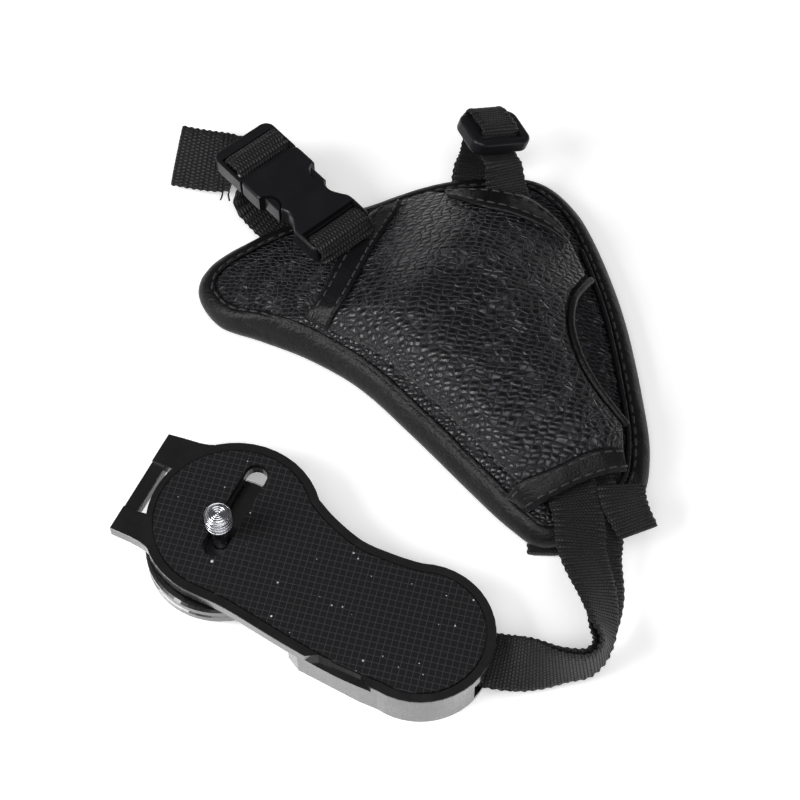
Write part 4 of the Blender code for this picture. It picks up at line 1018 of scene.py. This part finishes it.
# Base plate, cover and wheel: moulded ABS, smoother and glossier than the buckle.
abs_plastic = moulded("moulded_abs", "#09090a", "#101012", 0.26, 0.3, 0.012, 0.5, 0.8)
dress(abs_plastic, "base_plate", "strap_cover", "thumb_wheel")

# Mat: thin rubber pressed with a grid of small raised squares, 1.6 mm apart. The lines between them
# look paler, and specks of dust cling to it.
MAT_PITCH = 1.6
MAT_GRAIN_MM = 0.3
SPECK_MM = 2.4
DUST_PATCH_MM = 11.0
MAT_TURN = math.radians(14.0)
rubber = finish("pressed_rubber", {"Roughness": 0.8, "Specular IOR Level": 0.3})
mat_place = add(rubber, "TexCoord").outputs["Object"]
mat_grid = add(rubber, "Mapping", {"Vector": mat_place, "Rotation": (0.0, 0.0, MAT_TURN),
                                   "Scale": (1000 / MAT_PITCH,) * 3})
mat_axes = add(rubber, "SeparateXYZ", {0: mat_grid.outputs[0]})
walls = []
for axis in range(2):
    wave = add(rubber, "Math", {0: mat_axes.outputs[axis], 1: 0.5}, operation="PINGPONG")
    walls.append(add(rubber, "MapRange", {"Value": wave.outputs[0], "From Min": 0.03, "From Max": 0.11},
                     interpolation_type="SMOOTHSTEP").outputs[0])
squares = add(rubber, "Math", {0: walls[0], 1: walls[1]}, operation="MULTIPLY")
mat_grain = add(rubber, "TexNoise", {"Vector": mat_place, "Scale": 1000 / MAT_GRAIN_MM, "Detail": 3.0})
mat_height = add(rubber, "Math", {0: mat_grain.outputs["Fac"], 1: 0.35, 2: squares.outputs[0]},
                 operation="MULTIPLY_ADD")
mat_bump = add(rubber, "Bump", {"Height": mat_height.outputs[0], "Distance": 0.28 * MM, "Strength": 0.9})
mat_tone = add(rubber, "Mix", {0: squares.outputs[0], 6: linear("#2f2f33"), 7: linear("#09090b")},
               data_type="RGBA")
dust = add(rubber, "TexVoronoi", {"Vector": mat_place, "Scale": 1000 / SPECK_MM})
dust_patch = add(rubber, "TexNoise", {"Vector": mat_place, "Scale": 1000 / DUST_PATCH_MM})
speck_r = add(rubber, "MapRange", {"Value": dust_patch.outputs["Fac"], "From Min": 0.42, "From Max": 0.8,
                                   "To Max": 0.2})
speck = add(rubber, "Math", {0: dust.outputs["Distance"], 1: speck_r.outputs[0]}, operation="LESS_THAN")
mat_dusty = add(rubber, "Mix", {0: speck.outputs[0], 6: mat_tone.outputs[2], 7: linear("#c4c4c8")},
                data_type="RGBA")
feed(rubber, Base_Color=mat_dusty.outputs[2], Normal=mat_bump.outputs[0])
dress(rubber, "rubber_mat")

# Camera screw, pin and cover screws: turned steel, nickel plated, so nearly a mirror. The lathe left
# fine rings round the camera screw's own axis; at this scale one ring comes every 0.56 mm.
LATHE_MM = 0.8
RING_SCALE = 560.0
steel = finish("nickel_plated_steel", {"Metallic": 1.0})
steel_place = add(steel, "TexCoord").outputs["Object"]
lathe_marks = add(steel, "TexNoise", {"Vector": add(steel, "Mapping", {
    "Vector": steel_place, "Scale": (0.2, 0.2, 4.0)}).outputs[0], "Scale": 1000 / LATHE_MM, "Detail": 3.0})
steel_tone = add(steel, "Mix", {0: lathe_marks.outputs["Fac"], 6: linear("#b9bac0"), 7: linear("#e2e3e8")},
                 data_type="RGBA")
steel_shine = add(steel, "MapRange", {"Value": lathe_marks.outputs["Fac"], "To Min": 0.12, "To Max": 0.28})
screw_points = np.array([v.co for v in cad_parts["camera_screw"].data.vertices])
screw_axis = (screw_points.min(0) + screw_points.max(0)) / 2
faced = add(steel, "Mapping", {"Vector": steel_place, "Location": (-screw_axis[0], -screw_axis[1], 0.0)})
facing = add(steel, "TexWave", {"Vector": faced.outputs[0], "Scale": RING_SCALE, "Distortion": 0.6,
                                "Detail": 1.0}, wave_type="RINGS", rings_direction="Z")
steel_bump = add(steel, "Bump", {"Height": facing.outputs[0], "Distance": 0.16 * MM})
feed(steel, Base_Color=steel_tone.outputs[2], Roughness=steel_shine.outputs[0], Normal=steel_bump.outputs[0])
dress(steel, "camera_screw", "strap_pin", "cover_screw_1", "cover_screw_2")
